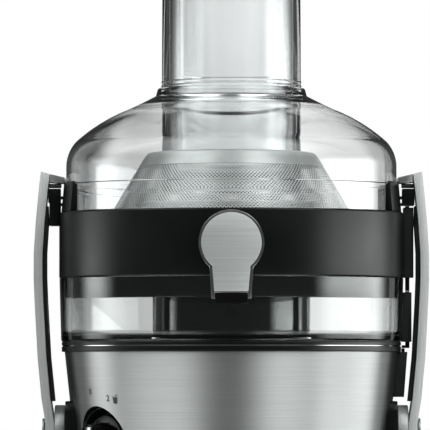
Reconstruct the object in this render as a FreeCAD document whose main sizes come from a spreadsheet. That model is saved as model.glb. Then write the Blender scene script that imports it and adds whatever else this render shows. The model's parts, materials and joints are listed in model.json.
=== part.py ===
import FreeCAD, Part
import math
import os
import Sketcher

# A centrifugal juicer. Millimetres, +Z up, origin on the drive axis at table level.
# -Y is the front with the spout, +X is the right-hand side with the safety interlock.

# Driving dimensions: heights end in _z and are above the table, radii end in _rad.
DIMENSIONS = {
    "wall": 2.5,
    # feet and base
    "foot_rad": 11, "foot_tall": 5, "foot_spot": 72, "tray_rad": 97, "tray_floor": 3,
    "tray_top_z": 22, "tray_bevel": 4, "tray_bevel_tall": 5, "tray_fillet": 3,
    "stem_rad": 3, "stem_hole_rad": 3.2, "stem_cap_rad": 4.4, "stem_cap_tall": 1.6,
    "screw_rad": 2, "screw_head_rad": 4, "screw_head_tall": 2, "screw_long": 20,
    "screw_spot": 88.5, "post_wall": 2.5, "post_tall": 36, "vent_half": 40, "vent_wide": 3,
    # housing
    "deck_z": 163.7, "shoulder_z": 134, "deck_rad": 107.4, "shoulder_rad": 104.2,
    "waist_z": 90, "waist_rad": 99, "hip_z": 50, "hip_rad": 96, "skin": 0.8,
    "deck_thick": 3, "neck_hole_rad": 9, "neck_rad": 48.9, "neck_z": 203, "ring_z": 170.2,
    "ring_rad": 109.3, "ring_wide": 5, "groove_z": 167.1, "groove_tall": 0.8, "groove_deep": 0.7,
    "pod_half": 25, "pod_x": 106.4, "pod_low_z": 40, "pod_top_z": 132,
    "pod_corner": 7, "gland_z": 36, "gland_rad": 7, "gland_bore": 3.8, "gland_long": 8,
    "gland_collar": 2.5, "gland_collar_long": 3, "gland_y": 102,
    # control knob
    "knob_turn": 56, "knob_z": 101, "cup_rad": 28, "cup_deep": 14, "knob_rad": 22.7,
    "cup_wall": 1.8, "cup_floor": 2, "disc_gap": 0.4, "disc_tall": 8, "stem_long": 16.5,
    "knob_stem_rad": 4, "grip_wide": 10, "grip_long": 34, "grip_tall": 12,
    "insert_edge": 2, "insert_edge_side": 1.5, "insert_tall": 1,
    "switch_long": 32, "switch_wide": 30, "switch_deep": 16,
    # containers
    "bowl_rad": 111, "bowl_low_rad": 109.7, "bowl_wall": 2.4, "bowl_rim_z": 211,
    "tube_wall_rad": 51, "tube_wall_bore": 49.3, "tube_wall_z": 205,
    "band_z": 253.4, "channel_rad": 85.5, "channel_z": 215, "skirt_z": 197.5,
    "skirt_rad": 108.1,
    # lid, feed tube and pusher
    "lid_foot_rad": 104.3, "lip_z": 271, "lip_rad": 106.5, "lid_wall": 2.5,
    "tube_rad": 45, "tube_bore": 40, "tube_low_z": 266, "tube_top_z": 416,
    "collar_z": 329.5, "collar_rad": 47.7,
    "pusher_rad": 39.4, "pusher_bore": 35.7, "pusher_low_z": 275,
    "cap_rad": 50, "cap_top_z": 431,
    # lid lugs and interlock
    "lug_x": 117.8, "lug_in_x": 110.2, "lug_half": 10, "left_lug_z": 245,
    "right_lug_z": 258, "lug_top": 155.9, "lug_relief_x": 117.1,
    "lug_relief_z": 259.6, "upstand_half": 38, "upstand_low_rad": 109.6,
    "upstand_top_rad": 107.9, "upstand_lap": 1.6, "web_low_z": 258, "web_top_z": 262.3,
    "web_thick": 1.4,
    "rod_x": 113.4, "rod_rad": 1.4, "rod_low_z": 166.2, "rod_split_z": 203,
    "spine_x": 117.2, "spine_low_x": 115.9, "spine_half": 7, "spine_gap_z": 202,
    "switch_low_z": 142, "switch_top_z": 155.5, "switch_x": 107.2, "switch_half": 4.5,
    "plunger_x": 110.6, "plunger_rad": 1.1,
    # locking arms
    "pivot_z": 113, "pin_rad": 5, "hub_rad": 16.5, "hub_x": 106.9, "arm_x": 119.3,
    "arm_thick": 5.6, "arm_half": 15, "arm_taper": 2, "arm_low_z": 96, "arm_waist_z": 200,
    "arm_top_z": 279.6, "arm_top_drop": 1.5, "liner_thick": 2.3, "liner_inset": 2.5,
    "liner_low_z": 132, "liner_top_z": 244.7, "cleat_top_z": 257.5, "cleat_x": 117.6,
    "cleat_half": 8, "hook_pin_rad": 1.4, "hook_pin_z": 270.7, "hook_pin_long": 8.1,
    "hook_pin_x": 109.6, "hook_half": 11,
    # motor
    "shaft_rad": 4, "spindle_rad": 5, "shaft_low_z": 37, "shaft_step_z": 130,
    "shaft_top_z": 238, "core_rad": 28, "core_low_z": 74, "core_top_z": 116,
    "stator_half": 42, "stator_bore": 28.7, "bearing_rad": 11, "fan_rad": 34,
    "comm_rad": 11, "bracket_half": 48, "yoke_rad": 15, "yoke_low_z": 38, "yoke_plate_rad": 46,
    "yoke_plate_z": 44, "yoke_top_z": 49, "post_rad": 4, "post_x": 36, "post_low_y": 28,
    "post_top_y": 30, "plate_z": 134, "plate_top_z": 139, "boss_tall": 11, "race_rad": 8.6,
    "race_inner_rad": 6.2, "race_upper_rad": 6.6, "bearing_low_z": 41, "bearing_top_z": 137,
    "bearing_tall": 7, "shaft_hole_rad": 8, "mount_rad": 6, "mount_inset": 7,
    "coil_rad": 38, "coil_bore": 30, "coil_low": 8, "coil_high": 10,
    "winding_rad": 24, "winding_bore": 9, "winding_low_z": 65, "winding_top_z": 125,
    "brush_low_z": 53, "brush_top_z": 63, "brush_half": 3.5, "brush_near": 11.3,
    "brush_far": 27, "holder_near": 15, "holder_far": 33, "holder_half": 5, "brush_gap": 0.1,
    "board_y": 80, "board_thick": 1.6, "board_half": 30, "board_low_z": 60, "board_top_z": 100,
    "fan_low_z": 149, "fan_disc_z": 152, "fan_disc_thick": 1.2, "fan_hub_rad": 9,
    "fan_bore_rad": 14, "blade_half": 0.7, "blade_tall": 4.9, "fit_gap": 0.02,
    "coupling_low_z": 212, "coupling_tall": 23, "coupling_rad": 9, "coupling_tooth_rad": 14,
    "coupling_tooth_half": 2,
    # sieve
    "rim_top_z": 293.4, "rim_rad": 53.5, "rim_bore": 47, "rim_low_z": 283,
    "rim_low_rad": 59.7, "mesh_low_z": 252, "mesh_low_rad": 78, "mesh_skin": 0.6,
    "disc_z": 258, "disc_rad": 62, "sieve_low_z": 246, "sieve_rad": 80,
    "sieve_hub_rad": 18,
    # spout
    "spout_z": 231, "spout_rad": 20.4, "plate_rad": 18.7, "spout_back_y": 116.4,
    "spout_front_y": 131.4, "spout_low_z": 196.2, "spout_foot": 12.3,
    "spout_neck_z": 213.9, "spout_neck": 13.6, "plate_low_z": 200.7, "plate_neck": 11.7,
    "plate_foot": 10.5, "plate_thick": 1.2, "nozzle_half": 10, "nozzle_low_z": 192.9,
    "nozzle_wall": 1.4, "spout_pipe_rad": 13, "spout_pipe_wall": 2.4, "spout_wall": 3,
    "spout_inlet_rad": 9,
}

document = FreeCAD.newDocument("centrifugal_juicer")
sheet = document.addObject("Spreadsheet::Sheet", "dims")
for row, (alias, value) in enumerate(DIMENSIONS.items(), start=1):
    sheet.set(f"A{row}", str(value))
    sheet.setAlias(f"A{row}", alias)
document.recompute()

vector = FreeCAD.Vector


class Size:
    """A length that carries its value and the sheet expression that gives it."""

    def __init__(self, value, text):
        self.value = value
        self.text = text

    def __add__(self, other):
        other = size_of(other)
        return Size(self.value + other.value, f"({self.text} + {other.text})")

    def __sub__(self, other):
        other = size_of(other)
        return Size(self.value - other.value, f"({self.text} - {other.text})")

    def __mul__(self, other):
        other = size_of(other)
        return Size(self.value * other.value, f"({self.text} * {other.text})")

    def __truediv__(self, other):
        other = size_of(other)
        return Size(self.value / other.value, f"({self.text} / {other.text})")

    def __neg__(self):
        return Size(-self.value, f"(0 - {self.text})")

    def __radd__(self, other):
        return size_of(other) + self

    def __rsub__(self, other):
        return size_of(other) - self

    def __rmul__(self, other):
        return size_of(other) * self


def size_of(number):
    """Turn a plain number into a Size."""
    if isinstance(number, Size):
        return number
    return Size(float(number), f"({float(number)})")


def dim(alias):
    """Read one driving dimension from the sheet."""
    return Size(float(sheet.get(alias)), f"dims.{alias}")


class Dimensions:
    """Gives every cell of the sheet as an attribute."""

    def __getattr__(self, alias):
        return dim(alias)


d = Dimensions()
sub_parts = []


def finished(item, label):
    """Label a sub-part and keep it for the export."""
    item.Label = label
    sub_parts.append(item)
    return item


# ---------------------------------------------------------------- sketch helpers

def new_body(label):
    """A body that is a sub-part itself."""
    return finished(blank_body(label), label)


def blank_body(label):
    """A body that other features work on."""
    return document.addObject("PartDesign::Body", label)


def origin_plane(body, role):
    return [item for item in body.Origin.OriginFeatures if item.Role == role][0]


def new_sketch(body, role, offset=None):
    """A sketch on one of the body's own planes, moved along its normal by offset."""
    number = len([item for item in body.Group if item.isDerivedFrom("Sketcher::SketchObject")])
    sketch = body.newObject("Sketcher::SketchObject", f"{body.Name}_sketch{number}")
    sketch.AttachmentSupport = [(origin_plane(body, role), "")]
    sketch.MapMode = "FlatFace"
    if offset is not None:
        sketch.AttachmentOffset = FreeCAD.Placement(vector(0, 0, offset.value), FreeCAD.Rotation())
        sketch.setExpression("AttachmentOffset.Base.z", offset.text)
    return sketch


def pin_point(sketch, geometry, place, x, y):
    """Hold one point of the sketch at its two measured places."""
    for kind, length in (("DistanceX", x), ("DistanceY", y)):
        index = sketch.addConstraint(Sketcher.Constraint(kind, geometry, place, length.value))
        sketch.setExpression(f"Constraints[{index}]", length.text)


def outline(sketch, steps):
    """Draw a closed outline. A step is (x, y), reached by a straight line, or
    (x, y, via_x, via_y), reached by the arc through the via point."""
    steps = [tuple(size_of(number) for number in step) for step in steps]
    before = steps[-1]
    ends = []
    for step in steps:
        start = vector(before[0].value, before[1].value, 0)
        end = vector(step[0].value, step[1].value, 0)
        if len(step) == 4:
            via = vector(step[2].value, step[3].value, 0)
            index = sketch.addGeometry(Part.Arc(start, via, end), False)
            turns_left = (via - start).cross(end - via).z > 0
            ends.append((index, 1, 2) if turns_left else (index, 2, 1))
        else:
            index = sketch.addGeometry(Part.LineSegment(start, end), False)
            ends.append((index, 1, 2))
        before = step
    for number, step in enumerate(steps):
        index, _, tail = ends[number]
        follower, head, _ = ends[(number + 1) % len(ends)]
        sketch.addConstraint(Sketcher.Constraint("Coincident", index, tail, follower, head))
        pin_point(sketch, index, tail, step[0], step[1])
    for number, step in enumerate(steps):
        if len(step) == 4:
            via = vector(step[2].value, step[3].value, 0)
            point = sketch.addGeometry(Part.Point(via), True)
            sketch.addConstraint(Sketcher.Constraint("PointOnObject", point, 1, ends[number][0]))
            pin_point(sketch, point, 1, step[2], step[3])


def circle(sketch, x, y, radius):
    """Draw a circle held by its centre and radius."""
    x, y, radius = size_of(x), size_of(y), size_of(radius)
    centre = vector(x.value, y.value, 0)
    index = sketch.addGeometry(Part.Circle(centre, vector(0, 0, 1), radius.value), False)
    limit = sketch.addConstraint(Sketcher.Constraint("Radius", index, radius.value))
    sketch.setExpression(f"Constraints[{limit}]", radius.text)
    pin_point(sketch, index, 3, x, y)


def bind(item, name, length):
    """Give a property its size and tie it to the sheet."""
    length = size_of(length)
    setattr(item, name, length.value)
    item.setExpression(name, length.text)


def turned(body, steps):
    """Turn an outline of (radius, height) steps about the drive axis."""
    sketch = new_sketch(body, "XZ_Plane")
    outline(sketch, steps)
    feature = body.newObject("PartDesign::Revolution", f"{body.Name}_feature{len(body.Group)}")
    feature.Profile = sketch
    feature.ReferenceAxis = (sketch, ["V_Axis"])
    feature.Angle = 360
    return body


def spun(label, steps):
    """A sub-part turned about the drive axis."""
    return turned(new_body(label), steps)


def spun_blank(label, steps):
    """A turned body that other features work on."""
    return turned(blank_body(label), steps)


def padded(body, role, start, length, draw, kind="PartDesign::Pad"):
    """Pad or pocket what draw puts into a sketch. The sketch lies at start along the
    plane's normal and the feature runs on from there by length."""
    start = size_of(start)
    sketch = new_sketch(body, role, start)
    draw(sketch)
    feature = body.newObject(kind, f"{body.Name}_feature{len(body.Group)}")
    feature.Profile = sketch
    bind(feature, "Length", length)
    if kind == "PartDesign::Pocket":
        feature.Reversed = True
    return feature


def rectangle(x_low, x_high, y_low, y_high):
    """Steps of a rectangle for outline."""
    return [(x_low, y_low), (x_high, y_low), (x_high, y_high), (x_low, y_high)]


def copies(body, feature, count):
    """Repeat one feature of a body evenly round the drive axis."""
    pattern = body.newObject("PartDesign::PolarPattern", f"{body.Name}_pattern{len(body.Group)}")
    pattern.Originals = [feature]
    pattern.Axis = (origin_axis(body), [""])
    pattern.Angle = 360
    pattern.Occurrences = count
    body.Tip = pattern
    return pattern


def origin_axis(body):
    return [item for item in body.Origin.OriginFeatures if item.Role == "Z_Axis"][0]


# ---------------------------------------------------------------- primitive helpers

def placed(item, x=0, y=0, z=0, rotation=None):
    """Place a primitive and tie its place to the sheet."""
    x, y, z = size_of(x), size_of(y), size_of(z)
    turn = rotation if rotation is not None else FreeCAD.Rotation()
    item.Placement = FreeCAD.Placement(vector(x.value, y.value, z.value), turn)
    for name, length in (("x", x), ("y", y), ("z", z)):
        item.setExpression(f"Placement.Base.{name}", length.text)
    return item


def box(x_low, x_high, y_low, y_high, z_low, z_high):
    item = document.addObject("Part::Box", "block")
    bind(item, "Length", size_of(x_high) - x_low)
    bind(item, "Width", size_of(y_high) - y_low)
    bind(item, "Height", size_of(z_high) - z_low)
    return placed(item, x_low, y_low, z_low)


def rod(radius, length, x=0, y=0, z=0, rotation=None):
    item = document.addObject("Part::Cylinder", "rod")
    bind(item, "Radius", radius)
    bind(item, "Height", length)
    return placed(item, x, y, z, rotation)


def cut(base, tool):
    item = document.addObject("Part::Cut", "cut")
    item.Base = base
    item.Tool = tool
    return item


def fuse(pieces):
    item = document.addObject("Part::MultiFuse", "fuse")
    item.Shapes = pieces
    item.Refine = True
    return item


def common(pieces):
    item = document.addObject("Part::MultiCommon", "common")
    item.Shapes = pieces
    return item


def group(pieces):
    """Separate solids of identical fasteners kept together in one node."""
    item = document.addObject("Part::Compound", "set")
    item.Links = pieces
    return item


def tube(outer, inner, length, x=0, y=0, z=0, rotation=None):
    return cut(rod(outer, length, x, y, z, rotation), rod(inner, length, x, y, z, rotation))


ALONG_X = FreeCAD.Rotation(vector(0, 1, 0), 90)
ALONG_FRONT = FreeCAD.Rotation(vector(1, 0, 0), 90)
KNOB_YAW = -(90 + d.knob_turn.value)
# The knob's own frame: its Z runs outward along the radius of the knob's azimuth.
KNOB_FRAME = FreeCAD.Rotation(vector(0, 0, 1), KNOB_YAW).multiply(ALONG_X)


def knob_rod(radius, start, length):
    """A cylinder along the knob axis, from start outward."""
    direction = KNOB_FRAME.multVec(vector(0, 0, 1))
    start = size_of(start)
    return rod(radius, length, direction.x * start, direction.y * start, d.knob_z, KNOB_FRAME)


def steel_radius(height):
    """Outer radius of the housing at a height between waist and deck."""
    if height.value >= d.shoulder_z.value:
        share = (height - d.shoulder_z) / (d.deck_z - d.shoulder_z)
        return d.shoulder_rad + (d.deck_rad - d.shoulder_rad) * share
    share = (height - d.waist_z) / (d.shoulder_z - d.waist_z)
    return d.waist_rad + (d.shoulder_rad - d.waist_rad) * share


def housing_side(inset):
    """The housing's outer line from bottom to deck, moved inward by inset."""
    return [
        (d.tray_rad - inset, d.tray_top_z),
        (d.hip_rad - inset, d.hip_z),
        (d.waist_rad - inset, d.waist_z),
        (d.shoulder_rad - inset, d.shoulder_z),
        (d.deck_rad - inset, d.deck_z),
    ]


def bored_body(label, steps, tools):
    """A turned sub-part with cylinders or boxes cut from it afterwards."""
    result = spun_blank(label + "_blank", steps)
    for tool in tools:
        result = cut(result, tool)
    return finished(result, label)


# The four directions along X and Y, and the four between them.
SQUARE = [(1, 0), (0, 1), (-1, 0), (0, -1)]
DIAGONAL = [(x * math.sqrt(0.5), y * math.sqrt(0.5)) for x in (-1, 1) for y in (-1, 1)]


# ---------------------------------------------------------------- base

def make_base():
    floor_low = d.foot_tall
    floor_top = d.foot_tall + d.tray_floor
    steps = [
        (0, floor_low), (d.tray_rad - d.tray_bevel, floor_low),
        (d.tray_rad, floor_low + d.tray_bevel_tall),
        (d.tray_rad, d.tray_top_z - 0.1), (d.tray_rad - d.wall, d.tray_top_z - 0.1),
        (d.tray_rad - d.wall, floor_top + d.tray_fillet),
        (d.tray_rad - d.tray_fillet * 2, floor_top), (0, floor_top),
    ]
    holes = []
    feet = []
    screws = []
    for quarter in range(4):
        px, py = d.screw_spot * SQUARE[quarter][0], d.screw_spot * SQUARE[quarter][1]
        fx, fy = d.foot_spot * DIAGONAL[quarter][0], d.foot_spot * DIAGONAL[quarter][1]
        holes.append(rod(d.stem_hole_rad, d.foot_tall * 2, fx, fy, floor_low - d.tray_floor))
        holes.append(rod(d.screw_rad + 0.2, d.screw_long, px, py, 0))
        feet.append(fuse([
            rod(d.foot_rad, d.foot_tall, fx, fy, 0),
            rod(d.stem_rad, d.tray_floor + 1, fx, fy, d.foot_tall),
            rod(d.stem_cap_rad, d.stem_cap_tall, fx, fy, floor_top),
        ]))
        screws.append(fuse([
            rod(d.screw_head_rad, d.screw_head_tall, px, py, d.foot_tall - d.screw_head_tall),
            rod(d.screw_rad, d.screw_long, px, py, d.foot_tall - 0.5),
        ]))
    vent = [box(-d.vent_half, d.vent_half, y, y + d.vent_wide, 2, 12) for y in (-12, -4, 4, 12)]
    bored_body("base_tray", steps, holes + vent)
    finished(group(feet), "rubber_feet")
    finished(group(screws), "base_screws")


# ---------------------------------------------------------------- motor housing

def make_housing():
    inset = d.skin + 0.2
    outer = housing_side(inset)
    inner = [(radius - d.wall, height) for radius, height in reversed(outer[:-1])]
    neck_in = d.neck_rad - d.wall - 0.5
    shell = outer + [
        (d.neck_rad, d.deck_z), (d.neck_rad, d.neck_z), (d.neck_hole_rad, d.neck_z),
        (d.neck_hole_rad, d.neck_z - d.deck_thick), (neck_in, d.neck_z - d.deck_thick),
        (neck_in, d.deck_z - d.deck_thick), (d.deck_rad - inset - 4, d.deck_z - d.deck_thick),
    ] + inner
    openings = [
        knob_rod(d.cup_rad + 0.1, 80, 40),
        rod(d.gland_rad + 0.1, 30, 0, 110, d.gland_z, ALONG_FRONT),
    ]
    casing = spun_blank("housing_blank", shell)
    for tool in openings:
        casing = cut(casing, tool)
    posts = []
    for x, y in SQUARE:
        post = tube(d.screw_rad + d.post_wall, d.screw_rad + 0.05, d.post_tall,
                    d.screw_spot * x, d.screw_spot * y, 11.5)
        outside = tube(140, d.hip_rad - inset - 1, 60)
        posts.append(cut(post, outside))
    finished(fuse([casing] + posts), "housing_shell")

    wrap_out = housing_side(0)
    wrap_in = [(radius - d.skin, height) for radius, height in reversed(wrap_out)]
    openings = [
        knob_rod(d.cup_rad + 0.1, 80, 40),
        rod(d.gland_rad + 0.1, 30, 0, 110, d.gland_z, ALONG_FRONT),
    ]
    bored_body("steel_wrap", wrap_out + wrap_in, openings)

    groove_top = d.groove_z + d.groove_tall
    groove_rad = d.ring_rad - d.groove_deep
    ring_bore = d.ring_rad - d.ring_wide
    spun("deck_ring", [
        (ring_bore, d.deck_z), (d.ring_rad, d.deck_z), (d.ring_rad, d.groove_z),
        (groove_rad, d.groove_z), (groove_rad, groove_top), (d.ring_rad, groove_top),
        (d.ring_rad, d.ring_z), (ring_bore, d.ring_z),
    ])

    gland = fuse([
        rod(d.gland_rad, d.gland_long, 0, d.gland_y, d.gland_z, ALONG_FRONT),
        rod(d.gland_rad + d.gland_collar, d.gland_collar_long, 0, d.gland_y, d.gland_z,
            ALONG_FRONT),
    ])
    finished(cut(gland, rod(d.gland_bore, 12, 0, 104, d.gland_z, ALONG_FRONT)), "cord_gland")

    pods = []
    half = d.pod_half
    bow_z = d.pod_low_z + half
    top = d.pod_top_z
    corner = d.pod_corner
    steps = [
        (-half, bow_z), (half, bow_z, 0, d.pod_low_z), (half, top - corner),
        (half - corner, top, half - 2, top - 2), (-half + corner, top),
        (-half, top - corner, -half + 2, top - 2),
    ]
    for side in (-1, 1):
        blank = blank_body(f"pod_blank_{side + 1}")
        start = 80 if side > 0 else -d.pod_x
        padded(blank, "YZ_Plane", start, d.pod_x - 80, lambda sketch: outline(sketch, steps))
        seat_line = [(0, d.tray_top_z)] + housing_side(-0.1) + [(0, d.deck_z)]
        pod = cut(blank, spun_blank(f"pod_seat_{side + 1}", seat_line))
        pin_start = 90 if side > 0 else -120
        pods.append(cut(pod, rod(d.pin_rad + 0.02, 30, pin_start, 0, d.pivot_z, ALONG_X)))
    finished(group(pods), "side_plates")

    pins = []
    for side in (-1, 1):
        start = d.pod_x - 2.2 if side > 0 else -(d.arm_x + 1.5)
        shank = rod(d.pin_rad, d.arm_x + 1.5 - d.pod_x + 2.2, start, 0, d.pivot_z, ALONG_X)
        head_start = d.arm_x + 0.9 if side > 0 else -(d.arm_x + 2.4)
        pins.append(fuse([shank, rod(d.pin_rad + 3, 1.5, head_start, 0, d.pivot_z, ALONG_X)]))
    finished(group(pins), "arm_pivot_pins")


def make_knob():
    outer = d.cup_rad
    wall_at = steel_radius(d.knob_z)
    floor_at = wall_at - d.cup_deep
    cup = cut(
        knob_rod(outer, floor_at, d.cup_deep - 1.5),
        knob_rod(outer - d.cup_wall, floor_at + d.cup_floor, d.cup_deep),
    )
    finished(cut(cup, knob_rod(4.3, floor_at - 1, 6)), "knob_bezel")

    disc_at = floor_at + d.cup_floor + d.disc_gap
    disc = knob_rod(d.knob_rad, disc_at, d.disc_tall)
    grip = document.addObject("Part::Box", "grip")
    bind(grip, "Length", d.grip_long)
    bind(grip, "Width", d.grip_wide)
    bind(grip, "Height", d.grip_tall)
    direction = KNOB_FRAME.multVec(vector(0, 0, 1))
    across = KNOB_FRAME.multVec(vector(0, 1, 0))
    start = disc_at + d.disc_tall
    corner_x = direction.x * start - across.x * d.grip_wide / 2
    corner_y = direction.y * start - across.y * d.grip_wide / 2
    placed(grip, corner_x, corner_y, d.knob_z + d.grip_long / 2, KNOB_FRAME)
    stem = knob_rod(d.knob_stem_rad, floor_at - 14, d.stem_long)
    finished(fuse([disc, grip, stem]), "knob_body")

    insert = document.addObject("Part::Box", "insert")
    insert_long = d.grip_long - d.insert_edge * 2
    insert_wide = d.grip_wide - d.insert_edge_side * 2
    bind(insert, "Length", insert_long)
    bind(insert, "Width", insert_wide)
    bind(insert, "Height", d.insert_tall)
    start = disc_at + d.disc_tall + d.grip_tall
    corner_x = direction.x * start - across.x * insert_wide / 2
    corner_y = direction.y * start - across.y * insert_wide / 2
    placed(insert, corner_x, corner_y, d.knob_z + insert_long / 2, KNOB_FRAME)
    finished(insert, "knob_insert")

    block = document.addObject("Part::Box", "switch_block")
    bind(block, "Length", d.switch_long)
    bind(block, "Width", d.switch_wide)
    bind(block, "Height", d.switch_deep)
    start = floor_at - d.switch_deep - 1
    corner_x = direction.x * start - across.x * d.switch_wide / 2
    corner_y = direction.y * start - across.y * d.switch_wide / 2
    placed(block, corner_x, corner_y, d.knob_z + d.switch_long / 2, KNOB_FRAME)
    finished(cut(block, knob_rod(4.1, floor_at - 20, 30)), "rotary_switch")


# ---------------------------------------------------------------- containers and lid

def make_containers():
    floor_top = d.ring_z + 2.2
    inner_low = d.bowl_low_rad - d.bowl_wall
    spun("pulp_container", [
        (d.tube_wall_bore, d.ring_z), (d.bowl_low_rad, d.ring_z), (d.bowl_rad, d.bowl_rim_z),
        (d.bowl_rad - d.bowl_wall, d.bowl_rim_z), (inner_low, floor_top + 3),
        (inner_low - 3, floor_top), (d.tube_wall_rad, floor_top),
        (d.tube_wall_rad, d.tube_wall_z), (d.tube_wall_bore, d.tube_wall_z),
    ])

    band_in = d.bowl_rad - 3
    collector = [
        (d.bowl_rad, d.bowl_rim_z), (d.bowl_rad, d.band_z), (103, d.band_z),
        (103, d.band_z - 2.2), (band_in, d.band_z - 2.2), (band_in, d.channel_z),
        (d.channel_rad, d.channel_z), (d.channel_rad, d.band_z - 1.4),
        (d.channel_rad - 2, d.band_z - 1.4), (d.channel_rad - 2, d.channel_z - 2.5),
        (d.skirt_rad - 1.9, d.channel_z - 2.5), (d.skirt_rad - 1.9, d.skirt_z),
        (d.skirt_rad, d.skirt_z), (d.skirt_rad, d.bowl_rim_z),
    ]
    ring = spun_blank("collector_ring", collector)
    pipe_back = d.bowl_rad - 2
    pipe = rod(d.spout_pipe_rad, 5.2, 0, -pipe_back, d.spout_z, ALONG_FRONT)
    pipe_bore = d.spout_pipe_rad - d.spout_pipe_wall
    bored = cut(fuse([ring, pipe]), rod(pipe_bore, 14, 0, -104, d.spout_z, ALONG_FRONT))
    finished(bored, "juice_collector")


def make_lid():
    wall = d.lid_wall
    spun("lid_dome", [
        (d.lid_foot_rad - wall, d.band_z), (d.lid_foot_rad, d.band_z), (d.lid_foot_rad, d.lip_z),
        (d.lip_rad, d.lip_z), (d.lip_rad, 283.7),
        (100, 299.2, 104.6, 292.2), (66.4, 319.8, 84.8, 310.6), (d.collar_rad + 1, 328.6, 56.4, 324.6),
        (d.collar_rad, d.collar_z + 4), (d.tube_rad + 0.1, d.collar_z + 4), (d.tube_rad + 0.1, 325.8),
        (65.2, 316.9, 55.8, 321.6), (98.2, 297, 83.2, 308),
        (d.lip_rad - wall, 283.7, 102.4, 290.8), (d.lip_rad - wall, d.lip_z + 2),
        (d.lid_foot_rad - wall, d.lip_z),
    ])
    spun("feed_tube", [
        (d.tube_bore, d.tube_low_z), (d.tube_rad, d.tube_low_z), (d.tube_rad - 0.5, d.tube_top_z),
        (d.tube_bore, d.tube_top_z),
    ])
    spun("lid_seal", [
        (d.lid_foot_rad - wall - 1, d.band_z - 2.6), (102.8, d.band_z - 2.6),
        (102.8, d.band_z), (d.lid_foot_rad - wall - 1, d.band_z),
    ])
    spun("pusher_body", [
        (0, d.pusher_low_z), (d.pusher_rad, d.pusher_low_z), (d.pusher_rad, d.tube_top_z + 0.4),
        (d.pusher_bore, d.tube_top_z + 0.4), (d.pusher_bore, d.pusher_low_z + 3.5),
        (0, d.pusher_low_z + 3.5),
    ])
    spun("pusher_cap", [
        (0, d.tube_top_z + 0.4), (d.cap_rad, d.tube_top_z + 0.4), (d.cap_rad, d.cap_top_z - 4),
        (d.cap_rad - 4, d.cap_top_z, d.cap_rad - 1.2, d.cap_top_z - 1.2), (0, d.cap_top_z),
    ])


def make_lugs():
    """A clamp lug on each side of the lid: a curved upstand with a block outside it."""
    lugs = []
    for side in (-1, 1):
        low_z = d.right_lug_z if side > 0 else d.left_lug_z
        upstand = spun_blank(f"lug_ring_{side + 1}", [
            (d.lid_foot_rad + 0.4, d.band_z + 0.2), (d.upstand_low_rad, d.band_z + 0.2),
            (d.upstand_top_rad, d.lip_z + d.upstand_lap),
            (d.lip_rad + 0.3, d.lip_z + d.upstand_lap), (d.lip_rad + 0.3, d.lip_z - 0.4),
            (d.lid_foot_rad + 0.4, d.lip_z - 0.4),
        ])
        window = side_block(side, 90, 112, d.upstand_half, 250, 276)
        block = side_block(side, d.lug_in_x, d.lug_x, d.lug_half, low_z, d.hook_pin_z)
        crown = rod(d.lug_top, 40, side * 115 - 20, 0, d.pivot_z, ALONG_X)
        pieces = [common([upstand, window]), common([block, crown])]
        for web_z in (d.web_low_z, d.web_top_z):
            high_z = web_z + d.web_thick
            pieces.append(side_block(side, 107, d.lug_in_x + 1, d.lug_half, web_z, high_z))
        band = rod(d.bowl_rad + 0.05, d.band_z + 0.2 - 240, 0, 0, 240)
        lug = cut(fuse(pieces), band)
        if side < 0:
            relief = side_block(side, d.lug_relief_x, d.lug_x + 1, 20, 240, d.lug_relief_z)
            lug = cut(lug, relief)
        lugs.append(lug)
    finished(group(lugs), "lid_lugs")


def side_block(side, near, far, half, low_z, high_z):
    """A block on the right (side 1) or left (side -1), from near to far along X."""
    low_x, high_x = (near, far) if side > 0 else (size_of(far) * -1, size_of(near) * -1)
    return box(low_x, high_x, -size_of(half), half, low_z, high_z)


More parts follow.
